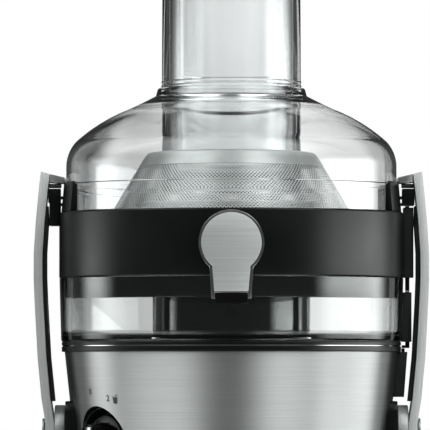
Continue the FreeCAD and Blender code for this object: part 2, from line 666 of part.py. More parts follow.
def make_interlock():
    """Hollow spines on the right with the push rods that the lid's lug holds down."""
    half = d.spine_half
    bore_rad = d.rod_rad + 0.3
    low_z, high_z = d.bowl_rim_z + 0.5, d.right_lug_z - 1.4
    blank = cut(side_block(1, 108, d.spine_x, half, low_z, high_z),
                rod(d.bowl_rad + 0.02, 60, 0, 0, d.bowl_rim_z))
    finished(cut(blank, rod(bore_rad, 60, d.rod_x, 0, d.bowl_rim_z)), "collector_spine")

    bowl_side = [
        (0, d.ring_z - 1), (d.bowl_low_rad + 0.02, d.ring_z - 1), (d.bowl_low_rad + 0.02, d.ring_z),
        (d.bowl_rad + 0.02, d.bowl_rim_z), (0, d.bowl_rim_z),
    ]
    blank = cut(side_block(1, 107, d.spine_low_x, half, d.ring_z, d.spine_gap_z),
                spun_blank("spine_wall", bowl_side))
    finished(cut(blank, rod(bore_rad, 40, d.rod_x, 0, d.ring_z - 2)), "container_spine")

    low_z, high_z = d.shoulder_z + 0.7, d.deck_z
    body = blank_body("housing_spine_blank")
    steps = [(d.shoulder_rad - 3, low_z), (111, low_z), (113.2, high_z), (d.shoulder_rad - 3, high_z)]
    padded(body, "XZ_Plane", -half, half * 2, lambda sketch: outline(sketch, steps))
    seat = spun_blank("spine_seat", [(0, d.tray_top_z)] + housing_side(-0.1) + [(0, d.deck_z + 5)])
    hollow = side_block(1, d.switch_x - 0.8, d.switch_x + 3.7, d.switch_half + 0.5,
                        d.switch_low_z - 1, d.switch_top_z + 2)
    bore = rod(d.plunger_rad + 0.15, 12, d.plunger_x, 0, 154)
    finished(cut(cut(cut(body, seat), hollow), bore), "housing_spine")
    finished(side_block(1, d.switch_x, d.switch_x + 3.3, d.switch_half, d.switch_low_z,
                        d.switch_top_z), "interlock_switch")

    upper_low = d.rod_split_z
    upper = rod(d.rod_rad, d.right_lug_z - 0.4 - upper_low, d.rod_x, 0, upper_low)
    lower = fuse([
        rod(d.rod_rad, upper_low - 0.2 - d.rod_low_z, d.rod_x, 0, d.rod_low_z),
        side_block(1, 109.7, 114.6, d.rod_rad, d.rod_low_z, d.rod_low_z + 1.8),
    ])
    plunger_low = d.switch_top_z + 1.7
    plunger = rod(d.plunger_rad, d.rod_low_z - 0.2 - plunger_low, d.plunger_x, 0, plunger_low)
    finished(group([upper, lower, plunger]), "interlock_rods")


# ---------------------------------------------------------------- locking arms

def side_view(label, side, inset):
    """The arm as seen from the side, wide at the pivot and narrow at the hook, as a
    long block along X that the arm's front outlines are cut to."""
    low = d.hub_rad - inset
    middle = d.arm_half - inset
    high = middle - d.arm_taper
    steps = [
        (-low, d.pivot_z), (low, d.pivot_z, 0, d.pivot_z - low), (middle, d.arm_waist_z),
        (high, d.arm_top_z), (-high, d.arm_top_z), (-middle, d.arm_waist_z),
    ]
    body = blank_body(label)
    padded(body, "YZ_Plane", side * 115 - 20, 40, lambda sketch: outline(sketch, steps))
    return body


def front_view(label, steps):
    """An outline seen from the front, padded evenly to both sides of the middle."""
    body = blank_body(label)
    padded(body, "XZ_Plane", -20, 40, lambda sketch: outline(sketch, steps))
    return body


# The outer line of an arm from the pivot up: how far it stands out from arm_x, height.
ARM_LINE = [
    (0, 118), (2.6, 134), (5.1, 160), (7.1, 196), (7.7, 211), (7.7, 227), (6.4, 247.6),
    (4.5, 268),
]
ARM_TOP_OUT = 3.2
LINER_FOOT_OUT = 2.3
LINER_HEAD_OUT = 6.6
CLEAT_HEAD_OUT = 5.4


def arm_side(side, points, inset, thick, top_drop):
    """A curved strip: its outer line moved inward by inset, and its back. The back's
    end is lower than the front's by top_drop."""
    face = [(side * (d.arm_x + out - inset), z) for out, z in points]
    back = [(side * (d.arm_x + out - inset - thick), z) for out, z in reversed(points)]
    back[0] = (back[0][0], back[0][1] - top_drop)
    return face + back


def make_arm(side):
    """One locking arm: strip, liner with cleat, hook plate, hook pin and pivot hub."""
    name = "right" if side > 0 else "left"
    points = [(0, d.arm_low_z)] + ARM_LINE + [(ARM_TOP_OUT, d.arm_top_z)]
    strip = front_view(f"{name}_strip", arm_side(side, points, 0, d.arm_thick, d.arm_top_drop))
    strip = common([strip, side_view(f"{name}_strip_side", side, 0)])
    bore = rod(d.pin_rad + 0.05, 40, side * 115 - 20, 0, d.pivot_z, ALONG_X)
    finished(cut(strip, bore), f"{name}_arm")

    middle = [point for point in ARM_LINE if 140 < point[1] < 240]
    points = [(LINER_FOOT_OUT, d.liner_low_z)] + middle + [(LINER_HEAD_OUT, d.liner_top_z)]
    face = d.arm_thick + 0.05
    liner = front_view(f"{name}_lining", arm_side(side, points, face, d.liner_thick, 0))
    liner = common([liner, side_view(f"{name}_lining_side", side, d.liner_inset)])
    cleat = front_view(f"{name}_cleat", [
        (side * (d.arm_x + LINER_HEAD_OUT - face), d.liner_top_z - 0.1),
        (side * (d.arm_x + CLEAT_HEAD_OUT - face), d.cleat_top_z),
        (side * (d.cleat_x + 0.3), d.cleat_top_z), (side * d.cleat_x, d.liner_top_z - 0.1),
    ])
    cleat = common([cleat, side_block(side, 110, 130, d.cleat_half, 240, 260)])
    finished(fuse([liner, cleat]), f"{name}_arm_liner")

    joint_x = d.arm_x + ARM_TOP_OUT - d.arm_thick
    top_z = d.arm_top_z - d.arm_top_drop
    plate = [
        (side * (joint_x - 0.05), top_z), (side * size_of(107), top_z - 2.3),
        (side * size_of(107), top_z - 4.5), (side * size_of(108.5), top_z - 5.9),
        (side * (joint_x + 0.6), top_z - 5.2),
    ]
    body = new_body(f"{name}_hook_plate")
    half = d.hook_half
    padded(body, "XZ_Plane", -half, half * 2, lambda sketch: outline(sketch, plate))

    start = d.hook_pin_x if side > 0 else -(d.hook_pin_x + d.hook_pin_long)
    pin = rod(d.hook_pin_rad, d.hook_pin_long, start, 0, d.hook_pin_z, ALONG_X)
    finished(pin, f"{name}_hook_pin")

    start = d.hub_x if side > 0 else d.arm_thick - d.arm_x
    hub_long = d.arm_x - d.arm_thick - d.hub_x
    hub = tube(d.hub_rad, d.pin_rad + 0.05, hub_long, start, 0, d.pivot_z, ALONG_X)
    finished(hub, f"{name}_arm_hub")


# ---------------------------------------------------------------- motor and rotor

def ring(label, outer, inner, low_z, high_z):
    return spun(label, [(inner, low_z), (outer, low_z), (outer, high_z), (inner, high_z)])


def plain_ring(outer, inner, low_z, high_z):
    return tube(outer, inner, size_of(high_z) - low_z, 0, 0, low_z)


def make_motor():
    low, high = d.core_low_z - 2, d.core_top_z + 2
    body = new_body("stator")
    half = d.stator_half
    steps = rectangle(-half, half, -half + 6, half - 6)
    padded(body, "XY_Plane", low, high - low, lambda sketch: outline(sketch, steps))
    padded(body, "XY_Plane", low - 1, high - low + 2,
           lambda sketch: circle(sketch, 0, 0, d.stator_bore), "PartDesign::Pocket")
    finished(group([
        plain_ring(d.coil_rad, d.coil_bore, low - d.coil_low, low - 0.1),
        plain_ring(d.coil_rad, d.coil_bore, high + 0.1, high + d.coil_high),
    ]), "field_coils")

    lower = spun_blank("lower_plate", [
        (0, d.yoke_low_z), (d.yoke_rad, d.yoke_low_z), (d.yoke_rad, d.yoke_plate_z),
        (d.yoke_plate_rad, d.yoke_plate_z), (d.yoke_plate_rad, d.yoke_top_z), (0, d.yoke_top_z),
    ])
    foot_z = d.yoke_top_z - 1
    posts = [rod(d.post_rad, low - foot_z, d.post_x * sx, d.post_low_y * sy, foot_z)
             for sx in (-1, 1) for sy in (-1, 1)]
    bracket = fuse([lower] + posts)
    seat_rad = d.bearing_rad + d.fit_gap
    hole_rad = d.shaft_hole_rad
    bracket = cut(bracket, rod(seat_rad, d.bearing_tall + 0.1, 0, 0, d.bearing_low_z))
    bracket = cut(bracket, rod(hole_rad, 12, 0, 0, d.yoke_low_z - 2))
    bracket = cut(bracket, rod(hole_rad, 12, 0, 0, d.yoke_top_z - 3))
    for vent_y in (-30, 30):
        bracket = cut(bracket, rod(hole_rad, 10, 0, vent_y, d.yoke_plate_z - 2))
    finished(bracket, "lower_motor_bracket")

    half = d.bracket_half
    plate = box(-half, half, -half, half, d.plate_z, d.plate_top_z)
    posts = [rod(d.post_rad, d.plate_z - high, d.post_x * sx, d.post_top_y * sy, high)
             for sx in (-1, 1) for sy in (-1, 1)]
    boss = rod(d.yoke_rad, d.boss_tall, 0, 0, d.plate_z)
    bracket = fuse([plate, boss] + posts)
    bracket = cut(bracket, rod(seat_rad, d.bearing_tall + 0.1, 0, 0, d.bearing_top_z))
    bracket = cut(bracket, rod(hole_rad, 20, 0, 0, d.plate_z - 4))
    finished(bracket, "upper_motor_bracket")

    spot = half - d.mount_inset
    tall = d.deck_z - d.deck_thick - d.plate_top_z
    mounts = [rod(d.mount_rad, tall, spot * sx, spot * sy, d.plate_top_z)
              for sx in (-1, 1) for sy in (-1, 1)]
    finished(group(mounts), "vibration_mounts")
    finished(group([
        plain_ring(d.bearing_rad, d.race_rad, foot, foot + d.bearing_tall)
        for foot in (d.bearing_low_z, d.bearing_top_z)
    ]), "bearing_outer_rings")

    holders = []
    brushes = []
    low_z, high_z = d.brush_low_z, d.brush_top_z
    bore_half = d.brush_half + d.brush_gap
    bore_low = low_z + d.holder_half - bore_half
    bore_high = high_z - d.holder_half + bore_half
    for side in (-1, 1):
        sleeve = side_block(side, d.holder_near, d.holder_far, d.holder_half, low_z, high_z)
        hollow = side_block(side, d.holder_near - 1, d.holder_far + 1, bore_half, bore_low,
                            bore_high)
        holders.append(cut(sleeve, hollow))
        brushes.append(side_block(side, d.brush_near, d.brush_far, d.brush_half,
                                  bore_low + d.brush_gap, bore_high - d.brush_gap))
    finished(group(holders), "brush_holders")
    finished(group(brushes), "carbon_brushes")

    half = d.board_half
    face_y = d.board_y
    finished(fuse([
        box(-half, half, face_y, face_y + d.board_thick, d.board_low_z, d.board_top_z),
        box(-20, -6, face_y - 10, face_y, 66, 84),
        box(4, 22, face_y - 12, face_y, 72, 92),
    ]), "control_board")
    spun("shaft_seal", [
        (d.spindle_rad + 0.05, d.neck_z - 2), (8.95, d.neck_z - 2), (8.95, d.neck_z),
        (12, d.neck_z), (12, d.neck_z + 2), (d.spindle_rad + 0.05, d.neck_z + 2),
    ])


def make_rotor():
    spun("motor_shaft", [
        (0, d.shaft_low_z), (d.shaft_rad, d.shaft_low_z), (d.shaft_rad, d.shaft_step_z),
        (d.spindle_rad, d.shaft_step_z), (d.spindle_rad, d.shaft_top_z), (0, d.shaft_top_z),
    ])
    fit = d.shaft_rad + d.fit_gap
    ring("armature_core", d.core_rad, fit, d.core_low_z, d.core_top_z)
    finished(group([
        plain_ring(d.winding_rad, d.winding_bore, d.winding_low_z, d.core_low_z - 0.1),
        plain_ring(d.winding_rad, d.winding_bore, d.core_top_z + 0.1, d.winding_top_z),
    ]), "armature_windings")
    ring("commutator", d.comm_rad, fit, d.brush_low_z, d.brush_top_z)
    spindle_fit = d.spindle_rad + d.fit_gap
    low_z, high_z = d.bearing_low_z, d.bearing_top_z
    finished(group([
        plain_ring(d.race_inner_rad, fit, low_z, low_z + d.bearing_tall),
        plain_ring(d.race_upper_rad, spindle_fit, high_z, high_z + d.bearing_tall),
    ]), "bearing_inner_rings")

    disc_top = d.fan_disc_z + d.fan_disc_thick
    body = spun("cooling_fan", [
        (spindle_fit, d.fan_low_z), (d.fan_hub_rad, d.fan_low_z), (d.fan_hub_rad, d.fan_disc_z),
        (d.fan_rad, d.fan_disc_z), (d.fan_rad, disc_top), (spindle_fit, disc_top),
    ])
    blade = rectangle(d.fan_bore_rad, d.fan_rad - 1, -d.blade_half, d.blade_half)
    padded(body, "XY_Plane", disc_top - 0.1, d.blade_tall + 0.1,
           lambda sketch: outline(sketch, blade))
    copies(body, body.Group[-1], 11)

    body = new_body("drive_coupling")
    low_z, tall = d.coupling_low_z, d.coupling_tall
    padded(body, "XY_Plane", low_z, tall, coupling_round)
    half = d.coupling_tooth_half
    tooth = rectangle(d.coupling_rad - 1, d.coupling_tooth_rad, -half, half)
    padded(body, "XY_Plane", low_z, tall, lambda sketch: outline(sketch, tooth))
    copies(body, body.Group[-1], 6)


def coupling_round(sketch):
    circle(sketch, 0, 0, d.coupling_rad)
    circle(sketch, 0, 0, d.spindle_rad + d.fit_gap)


def make_sieve():
    rim_wall = 1.2
    spun("sieve_rim", [
        (d.rim_low_rad - rim_wall, d.rim_low_z), (d.rim_low_rad, d.rim_low_z),
        (d.rim_rad, d.rim_top_z - 1.6), (d.rim_rad - 2, d.rim_top_z, d.rim_rad - 0.5, d.rim_top_z - 0.4),
        (d.rim_bore, d.rim_top_z), (d.rim_bore, d.rim_top_z - 1.2), (d.rim_rad - 2.4, d.rim_top_z - 1.2),
    ])
    skin = d.mesh_skin
    spun("sieve_mesh", [
        (d.mesh_low_rad - skin, d.mesh_low_z), (d.mesh_low_rad, d.mesh_low_z),
        (d.rim_low_rad - 0.1, d.rim_low_z - 0.05), (d.rim_low_rad - 0.1 - skin, d.rim_low_z - 0.05),
    ])
    spun("grater_disc", [
        (d.spindle_rad + 0.1, d.disc_z), (d.disc_rad, d.disc_z), (d.disc_rad, d.disc_z + 1.2),
        (d.spindle_rad + 0.1, d.disc_z + 1.2),
    ])
    hub_low = 236
    body = spun("sieve_base", [
        (d.sieve_rad - 4, d.sieve_low_z), (d.sieve_rad, d.sieve_low_z), (d.sieve_rad, 251.2),
        (d.mesh_low_rad, d.mesh_low_z - 0.05), (d.sieve_rad - 4, d.mesh_low_z - 0.05),
    ])
    spoke = rectangle(d.sieve_hub_rad - 2, d.sieve_rad - 2, -3, 3)
    padded(body, "XY_Plane", d.sieve_low_z, 4, lambda sketch: outline(sketch, spoke))
    copies(body, body.Group[-1], 4)
    padded(body, "XY_Plane", hub_low, d.disc_z - 0.05 - hub_low,
           lambda sketch: circle(sketch, 0, 0, d.sieve_hub_rad))
    padded(body, "XY_Plane", hub_low - 1, 4,
           lambda sketch: circle(sketch, 0, 0, 15), "PartDesign::Pocket")


# ---------------------------------------------------------------- spout

def keyhole(radius, neck, foot, low_z):
    """Steps of a keyhole outline: a round top on a neck that narrows downward."""
    join_z = d.spout_z - (radius.value ** 2 - neck.value ** 2) ** 0.5
    return [
        (-neck, join_z), (neck, join_z, 0, d.spout_z + radius), (neck, d.spout_neck_z),
        (foot, low_z), (-foot, low_z), (-neck, d.spout_neck_z),
    ]


def make_spout():
    shell = keyhole(d.spout_rad, d.spout_neck, d.spout_foot, d.spout_low_z)
    face = keyhole(d.plate_rad, d.plate_neck, d.plate_foot, d.plate_low_z)
    depth = d.spout_front_y - d.spout_back_y
    wall = d.spout_wall
    cavity = rectangle(-d.nozzle_half - 0.2, d.nozzle_half + 0.2, d.spout_low_z - 5, d.spout_z + 6)
    window = rectangle(-d.nozzle_half - 0.2, d.nozzle_half + 0.2, d.spout_low_z - 5,
                       d.plate_low_z - 0.8)
    body = new_body("spout_body")
    padded(body, "XZ_Plane", d.spout_back_y, depth, lambda sketch: outline(sketch, shell))
    padded(body, "XZ_Plane", d.spout_back_y + wall, depth - wall * 2,
           lambda sketch: outline(sketch, cavity), "PartDesign::Pocket")
    padded(body, "XZ_Plane", d.spout_back_y - 1, wall + 2,
           lambda sketch: circle(sketch, 0, d.spout_z, d.spout_inlet_rad), "PartDesign::Pocket")
    padded(body, "XZ_Plane", d.spout_front_y - wall - 1, wall + 2,
           lambda sketch: outline(sketch, window), "PartDesign::Pocket")

    body = new_body("spout_plate")
    padded(body, "XZ_Plane", d.spout_front_y, d.plate_thick, lambda sketch: outline(sketch, face))

    body = new_body("spout_nozzle")
    steps = rectangle(-d.nozzle_half, d.nozzle_half, d.nozzle_low_z, d.plate_low_z + 14)
    start = d.spout_back_y + wall + 0.2
    long = depth - wall * 2 - 0.4
    padded(body, "XZ_Plane", start, long, lambda sketch: outline(sketch, steps))
    lip = rectangle(-d.nozzle_half, d.nozzle_half, d.nozzle_low_z, d.plate_low_z - 1)
    padded(body, "XZ_Plane", start + 1, long + 1.4, lambda sketch: outline(sketch, lip))
    inside = d.nozzle_half - d.nozzle_wall
    steps = rectangle(-inside, inside, d.nozzle_low_z - 2, d.spout_z)
    padded(body, "XZ_Plane", start + d.nozzle_wall, long - d.nozzle_wall * 2,
           lambda sketch: outline(sketch, steps), "PartDesign::Pocket")


make_base()
make_housing()
make_knob()
make_containers()
make_lid()
make_lugs()
make_interlock()
make_arm(-1)
make_arm(1)
make_motor()
make_rotor()
make_sieve()
make_spout()

document.recompute()

problems = [item.Name for item in document.Objects if {"Invalid", "Error"} & set(item.State)]
for item in sub_parts:
    if item.Shape.isNull() or not item.Shape.isValid() or item.Shape.Volume <= 0:
        problems.append(f"shape of {item.Label}")
if problems:
    raise RuntimeError(f"failed: {problems}")

os.makedirs("parts", exist_ok=True)
for item in sub_parts:
    item.Shape.exportStep(f"parts/{item.Label}.step")
    print(item.Label, round(item.Shape.Volume), len(item.Shape.Solids))
print(len(sub_parts), "sub-parts")
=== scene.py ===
# %% [markdown]
# # A centrifugal juicer, part by part
#
# This lesson dresses a packed juicer in its real looks. The frame gives every solid at
# its true size and place. Each step adds one finish or one piece: brushed steel, satin
# and gloss plastic, clear copolyester, and a sieve with real holes. Lengths are written
# in millimetres, as on a drawing, and turned to metres at the last moment.

# %% The frame
import json
import math
import bmesh
import bpy
from mathutils import Matrix, Vector


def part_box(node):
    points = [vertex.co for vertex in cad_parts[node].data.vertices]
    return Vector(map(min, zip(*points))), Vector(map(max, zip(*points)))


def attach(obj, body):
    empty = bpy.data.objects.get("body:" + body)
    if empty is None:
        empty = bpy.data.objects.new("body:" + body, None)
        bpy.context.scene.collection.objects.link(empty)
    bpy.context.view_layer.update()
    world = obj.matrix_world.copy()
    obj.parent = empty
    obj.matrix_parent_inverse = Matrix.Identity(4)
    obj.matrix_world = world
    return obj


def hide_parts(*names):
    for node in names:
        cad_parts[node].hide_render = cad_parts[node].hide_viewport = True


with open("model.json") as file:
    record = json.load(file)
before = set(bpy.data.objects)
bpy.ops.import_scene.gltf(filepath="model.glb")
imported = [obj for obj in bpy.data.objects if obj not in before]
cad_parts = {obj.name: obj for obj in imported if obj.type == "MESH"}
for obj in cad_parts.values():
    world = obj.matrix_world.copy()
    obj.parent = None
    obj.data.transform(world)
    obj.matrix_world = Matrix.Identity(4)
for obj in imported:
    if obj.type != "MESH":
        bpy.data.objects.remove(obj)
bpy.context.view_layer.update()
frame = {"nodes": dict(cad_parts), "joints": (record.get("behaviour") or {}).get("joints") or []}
MM = 0.001

# %% [markdown]
# ## Places read from the frame
#
# A turned piece needs radii and heights. They could be typed in again, but then a change
# in the design would leave the looks behind. They are read from the boxes of the CAD
# nodes instead, and only what a box can't tell, such as a wall, is given here.

# %% Reading radii and heights


def top_of(node):
    """Height of a node's highest point, in millimetres."""
    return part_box(node)[1].z / MM


def foot_of(node):
    """Height of a node's lowest point, in millimetres."""
    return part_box(node)[0].z / MM


def reach_of(node):
    """Largest radius of a round node about the drive axis, in millimetres."""
    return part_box(node)[1].x / MM


band_rad = reach_of("pulp_container")
rim_z = top_of("pulp_container")
deck_z = top_of("steel_wrap")
print("bowl radius", round(band_rad, 1), "rim height", round(rim_z, 1), "deck height", round(deck_z, 1))

# %% [markdown]
# ## Colours
#
# A colour is picked as an sRGB hex value, the way a maker's chart gives it. Shaders
# work in linear light, so one function converts every value.

# %% sRGB to linear


def linear(hex_colour):
    """The linear colour of an sRGB hex value."""
    shares = [int(hex_colour[place:place + 2], 16) / 255 for place in (1, 3, 5)]
    light = [share / 12.92 if share <= 0.04045 else ((share + 0.055) / 1.055) ** 2.4
             for share in shares]
    return (*light, 1.0)


print("middle grey in linear light:", round(linear("#808080")[0], 3))

# %% [markdown]
# ## One helper for nodes
#
# A material is a small tree of nodes. Adding them one by one takes three or four lines
# for each node, so one function adds any kind of node, sets what is plain and links what
# comes from another node. The few short functions after it are patterns built with it.

# %% The node helper


def add(tree, kind, inputs=None, **settings):
    """Adds a node with its settings. An input is a plain value or another's socket."""
    node = tree.nodes.new(kind)
    for name, value in settings.items():
        setattr(node, name, value)
    for key, value in (inputs or {}).items():
        if isinstance(value, bpy.types.NodeSocket):
            tree.links.new(value, node.inputs[key])
        else:
            node.inputs[key].default_value = value
    return node


def surface(name, build):
    """A material whose Principled inputs come from build(tree, coordinates)."""
    made = bpy.data.materials.new(name)
    made.use_nodes = True
    tree = made.node_tree
    tree.nodes.clear()
    place = add(tree, "ShaderNodeTexCoord").outputs["Object"]
    shader = add(tree, "ShaderNodeBsdfPrincipled", build(tree, place))
    add(tree, "ShaderNodeOutputMaterial", {"Surface": shader.outputs["BSDF"]})
    return made


def noise(tree, place, stretch, detail=3.0, rough=0.6):
    """Noise whose features repeat stretch times a metre along each axis."""
    moved = add(tree, "ShaderNodeMapping", {"Vector": place, "Scale": stretch})
    inputs = {"Vector": moved.outputs[0], "Scale": 1.0, "Detail": detail, "Roughness": rough}
    return add(tree, "ShaderNodeTexNoise", inputs).outputs["Fac"]


def spread(tree, value, low, high, start=0.3, end=0.7):
    """Maps the middle of a noise to the range from low to high."""
    inputs = {"Value": value, "From Min": start, "From Max": end, "To Min": low, "To Max": high}
    return add(tree, "ShaderNodeMapRange", inputs).outputs["Result"]


def tint(tree, value, dark, light):
    """Mixes two sRGB hex colours by a value."""
    inputs = {"Factor": value, 6: linear(dark), 7: linear(light)}
    return add(tree, "ShaderNodeMix", inputs, data_type="RGBA").outputs[2]


def bump(tree, height, depth_mm, strength=1.0):
    """A bump of a real depth, in millimetres."""
    inputs = {"Height": height, "Distance": depth_mm * MM, "Strength": strength}
    return add(tree, "ShaderNodeBump", inputs).outputs["Normal"]


print("helpers:", add.__name__, surface.__name__, noise.__name__, spread.__name__, tint.__name__)

# %% [markdown]
# ## Brushed stainless steel
#
# The housing, the arms and the spout's face are stainless sheet, brushed with an
# abrasive belt. The belt leaves scratches of some tenths of a millimetre across and
# several centimetres long, all one way. They stretch the highlight across the grain.
# Modelled scratches would take millions of faces, so noise stretched along the brushing
# drives the roughness, a slight change of tone and a very shallow bump. The scratches
# are drawn 0.45 mm apart, a few times coarser than real ones, or they would vanish at
# this size. A lacquer over the arms and the face makes them a little less metallic.

# %% Brushed steel
SCRATCH = 0.45
SCRATCH_LENGTH = 83


def brushed_steel(name, along, dark, light, rough=(0.4, 0.5), metallic=1.0):
    """Steel brushed along the named axes, with an anisotropic highlight across them."""
    lengthwise, across = 1 / (SCRATCH_LENGTH * MM), 1 / (SCRATCH * MM)
    stretch = [lengthwise if axis in along else across for axis in "XYZ"]

    def build(tree, place):
        scratches = noise(tree, place, stretch, detail=4.0, rough=0.75)
        cloud = noise(tree, place, [14, 14, 14], detail=2.0)
        mixed = add(tree, "ShaderNodeMath", {0: scratches, 1: cloud, 2: 0.24}, operation="MULTIPLY_ADD")
        around = "Z" if along == "XY" else "X"
        tangent = add(tree, "ShaderNodeTangent", direction_type="RADIAL", axis=around)
        return {
            "Base Color": tint(tree, spread(tree, scratches, 0.0, 1.0), dark, light),
            "Metallic": metallic,
            "Roughness": spread(tree, mixed.outputs[0], rough[0], rough[1]),
            "Anisotropic": 0.9,
            "Anisotropic Rotation": 0.25,
            "Tangent": tangent.outputs[0],
            "Normal": bump(tree, scratches, 0.01, 0.25),
        }
    return surface(name, build)


steel_round = brushed_steel("stainless_brushed_round", "XY", "#bcbdbc", "#d0d1d0")
steel_long = brushed_steel("stainless_brushed_lengthwise", "Z", "#b9bcbb", "#d9dbda", metallic=0.5)
steel_face = brushed_steel("stainless_brushed_face", "X", "#b9bcbb", "#d3d6d5", (0.36, 0.46), 0.62)
print("steels:", steel_round.name, steel_long.name, steel_face.name)

# %% [markdown]
# ## Polished metals
#
# The hook pins, the spout's shell and the inlay of the knob are chromed. Chrome is a
# mirror: its looks are only what it reflects, with a faint haze from handling. Plain
# zinc plating on screws and shafts is duller and slightly blue. These metals differ only
# in colour, roughness and grain, so one function makes them all. The sieve's sheet is the
# exception: its inner face is out of the light, so it carries a painted shade, a near black
# colour with little gloss on the side of the sheet that faces inward.

# %% Chrome, zinc, copper, aluminium and electrical steel


def metal(name, dark, light, rough, grain_mm, depth_mm=0.004, metallic=1.0):
    """A metal with a fine grain of a real size."""
    step = 1 / (grain_mm * MM)

    def build(tree, place):
        grain = noise(tree, place, [step, step, step])
        return {
            "Base Color": tint(tree, spread(tree, grain, 0.0, 1.0), dark, light),
            "Metallic": metallic,
            "Roughness": spread(tree, grain, rough[0], rough[1]),
            "Normal": bump(tree, grain, depth_mm, 0.3),
        }
    return surface(name, build)


chrome = metal("chrome_plated_brass", "#d2d3d3", "#e4e5e5", (0.05, 0.1), 18, 0.002)
zinc = metal("zinc_plated_steel", "#9fa2a5", "#b9bbbd", (0.28, 0.4), 2)
copper = metal("enamelled_copper_wire", "#9b4a22", "#b9622f", (0.3, 0.45), 0.9, 0.2)
aluminium = metal("die_cast_aluminium", "#8f9194", "#a9abad", (0.45, 0.6), 1.5, 0.03)
laminations = metal("varnished_electrical_steel", "#4a4c50", "#606267", (0.4, 0.55), 1.0, 0.05)
etched_steel = metal("stainless_etched_sheet", "#b2b5b4", "#c0c3c2", (0.32, 0.42), 9, 0.004, 0.72)


def perforated_steel(tree, place):
    """Etched sheet with a painted shade on its inner face: darker and less glossy, because it is out of the
    light.
    """
    painted_shade_side = add(tree, "ShaderNodeNewGeometry").outputs["Backfacing"]
    grain = noise(tree, place, [110, 110, 110])
    # painted shade: the back face of the sheet, inside the cone, gets a near black colour, no metal and a
    # weak gloss
    return {
        "Base Color": tint(tree, painted_shade_side, "#bfc2c1", "#0c0d0d"),
        "Metallic": spread(tree, painted_shade_side, 0.7, 0.0, 0.0, 1.0),
        "Roughness": spread(tree, grain, 0.32, 0.42),
        "Specular IOR Level": spread(tree, painted_shade_side, 0.5, 0.1, 0.0, 1.0),
    }


cone_steel = surface("stainless_perforated_sheet", perforated_steel)
print("metals:", chrome.name, zinc.name, copper.name, cone_steel.name)

# %% [markdown]
# ## Moulded plastics and rubber
#
# The black parts are moulded ABS. A spark-eroded mould gives the satin parts a fine
# pebble of about a third of a millimetre, a polished mould gives the gloss parts a
# mirror with a slight wave. Rubber is duller, and lighter where it has been touched.

# %% Plastics


def moulded(name, dark, light, rough, grain_mm, depth_mm, **more):
    """A moulded plastic: a pebble of a real size, in tone, roughness and bump."""
    step = 1 / (grain_mm * MM)

    def build(tree, place):
        pebble = noise(tree, place, [step, step, step], detail=2.0)
        haze = noise(tree, place, [22, 22, 22], detail=2.0)
        return {
            "Base Color": tint(tree, spread(tree, haze, 0.0, 1.0), dark, light),
            "Roughness": spread(tree, haze, rough[0], rough[1]),
            "Normal": bump(tree, pebble, depth_mm, 0.5),
            **more,
        }
    return surface(name, build)


satin_black = moulded("abs_satin_black", "#040505", "#060707", (0.3, 0.38), 0.35, 0.012,
                      **{"Specular IOR Level": 0.36})
trim_black = moulded("abs_textured_black", "#0e0f0f", "#151616", (0.4, 0.5), 0.4, 0.03)
gloss_black = moulded("abs_polished_black", "#050505", "#080808", (0.06, 0.1), 30, 0.02)
knob_black = moulded("abs_polished_black_knob", "#050505", "#080808", (0.1, 0.16), 30, 0.02,
                     **{"Specular IOR Level": 0.15})
inner_black = moulded("glass_filled_nylon_black", "#090909", "#0d0d0d", (0.5, 0.6), 0.6, 0.05,
                      **{"Specular IOR Level": 0.08})
rubber = moulded("nitrile_rubber_black", "#121212", "#1c1c1c", (0.65, 0.8), 0.7, 0.04)
carbon = moulded("pressed_carbon", "#0d0d0e", "#191a1b", (0.5, 0.7), 0.5, 0.03)
board_green = moulded("solder_mask_on_glass_laminate", "#0a3b1e", "#0f4a28", (0.3, 0.4), 1.5, 0.02)
print("plastics:", satin_black.name, trim_black.name, gloss_black.name)

# %% [markdown]
# ## Clear copolyester
#
# The lid, the feed tube, the pusher and the pulp container are injection moulded in
# clear plastics. Their indices of refraction lie between 1.49 and 1.57, and the lowest
# is used, because it keeps the dark rims as narrow as on the real lid. A see-through
# shader on a thin sheet would be quicker, but here the walls have a real thickness, so
# light bends at both faces, and the rims darken where it bends away.

# %% Clear plastic
CLEAR_INDEX = 1.49
WAVE = 60


def clear(name, colour):
    """Clear moulded plastic with the slight waviness of a moulded face."""
    step = 1 / (WAVE * MM)

    def build(tree, place):
        wave = noise(tree, place, [step, step, step], detail=1.0)
        return {
            "Base Color": linear(colour),
            "Transmission Weight": 1.0,
            "IOR": CLEAR_INDEX,
            "Roughness": spread(tree, wave, 0.0, 0.02),
            "Normal": bump(tree, wave, 0.1, 0.3),
        }
    return surface(name, build)


clear_lid = clear("copolyester_clear", "#fdfefe")
clear_bowl = clear("copolyester_clear_bowl", "#fbfdfc")
clear_pusher = clear("san_clear_polished", "#fbfcfc")
print("clear:", clear_lid.name, clear_bowl.name, clear_pusher.name)

# %% [markdown]
# ## Making a piece
#
# Every new piece ends the same way: smooth faces with sharp creases kept, one
# material, the body it rides on, and the CAD node it stands for. Light
# passes through clear plastic nearly unweakened, so the clear pieces cast no shadow.

# %% Finishing a piece


def crease(shape, degrees):
    """Smooth faces, with edges sharper than the given angle left crisp."""
    limit = math.radians(degrees)
    for face in shape.faces:
        face.smooth = True
    for edge in shape.edges:
        edge.smooth = len(edge.link_faces) == 2 and edge.calc_face_angle() < limit


def piece(name, shape, body, slot, finish, stands_for=(), sharp=35):
    """Turns a bmesh into a finished object that rides on a body."""
    crease(shape, sharp)
    mesh = bpy.data.meshes.new(name)
    shape.to_mesh(mesh)
    shape.free()
    made = bpy.data.objects.new(name, mesh)
    bpy.context.scene.collection.objects.link(made)
    made.data.materials.append(finish)
    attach(made, body)
    if stands_for:
        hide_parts(*stands_for)
    made.visible_shadow = finish not in (clear_lid, clear_bowl, clear_pusher)
    return made


print("each piece ends with", piece.__name__, "and", crease.__name__)

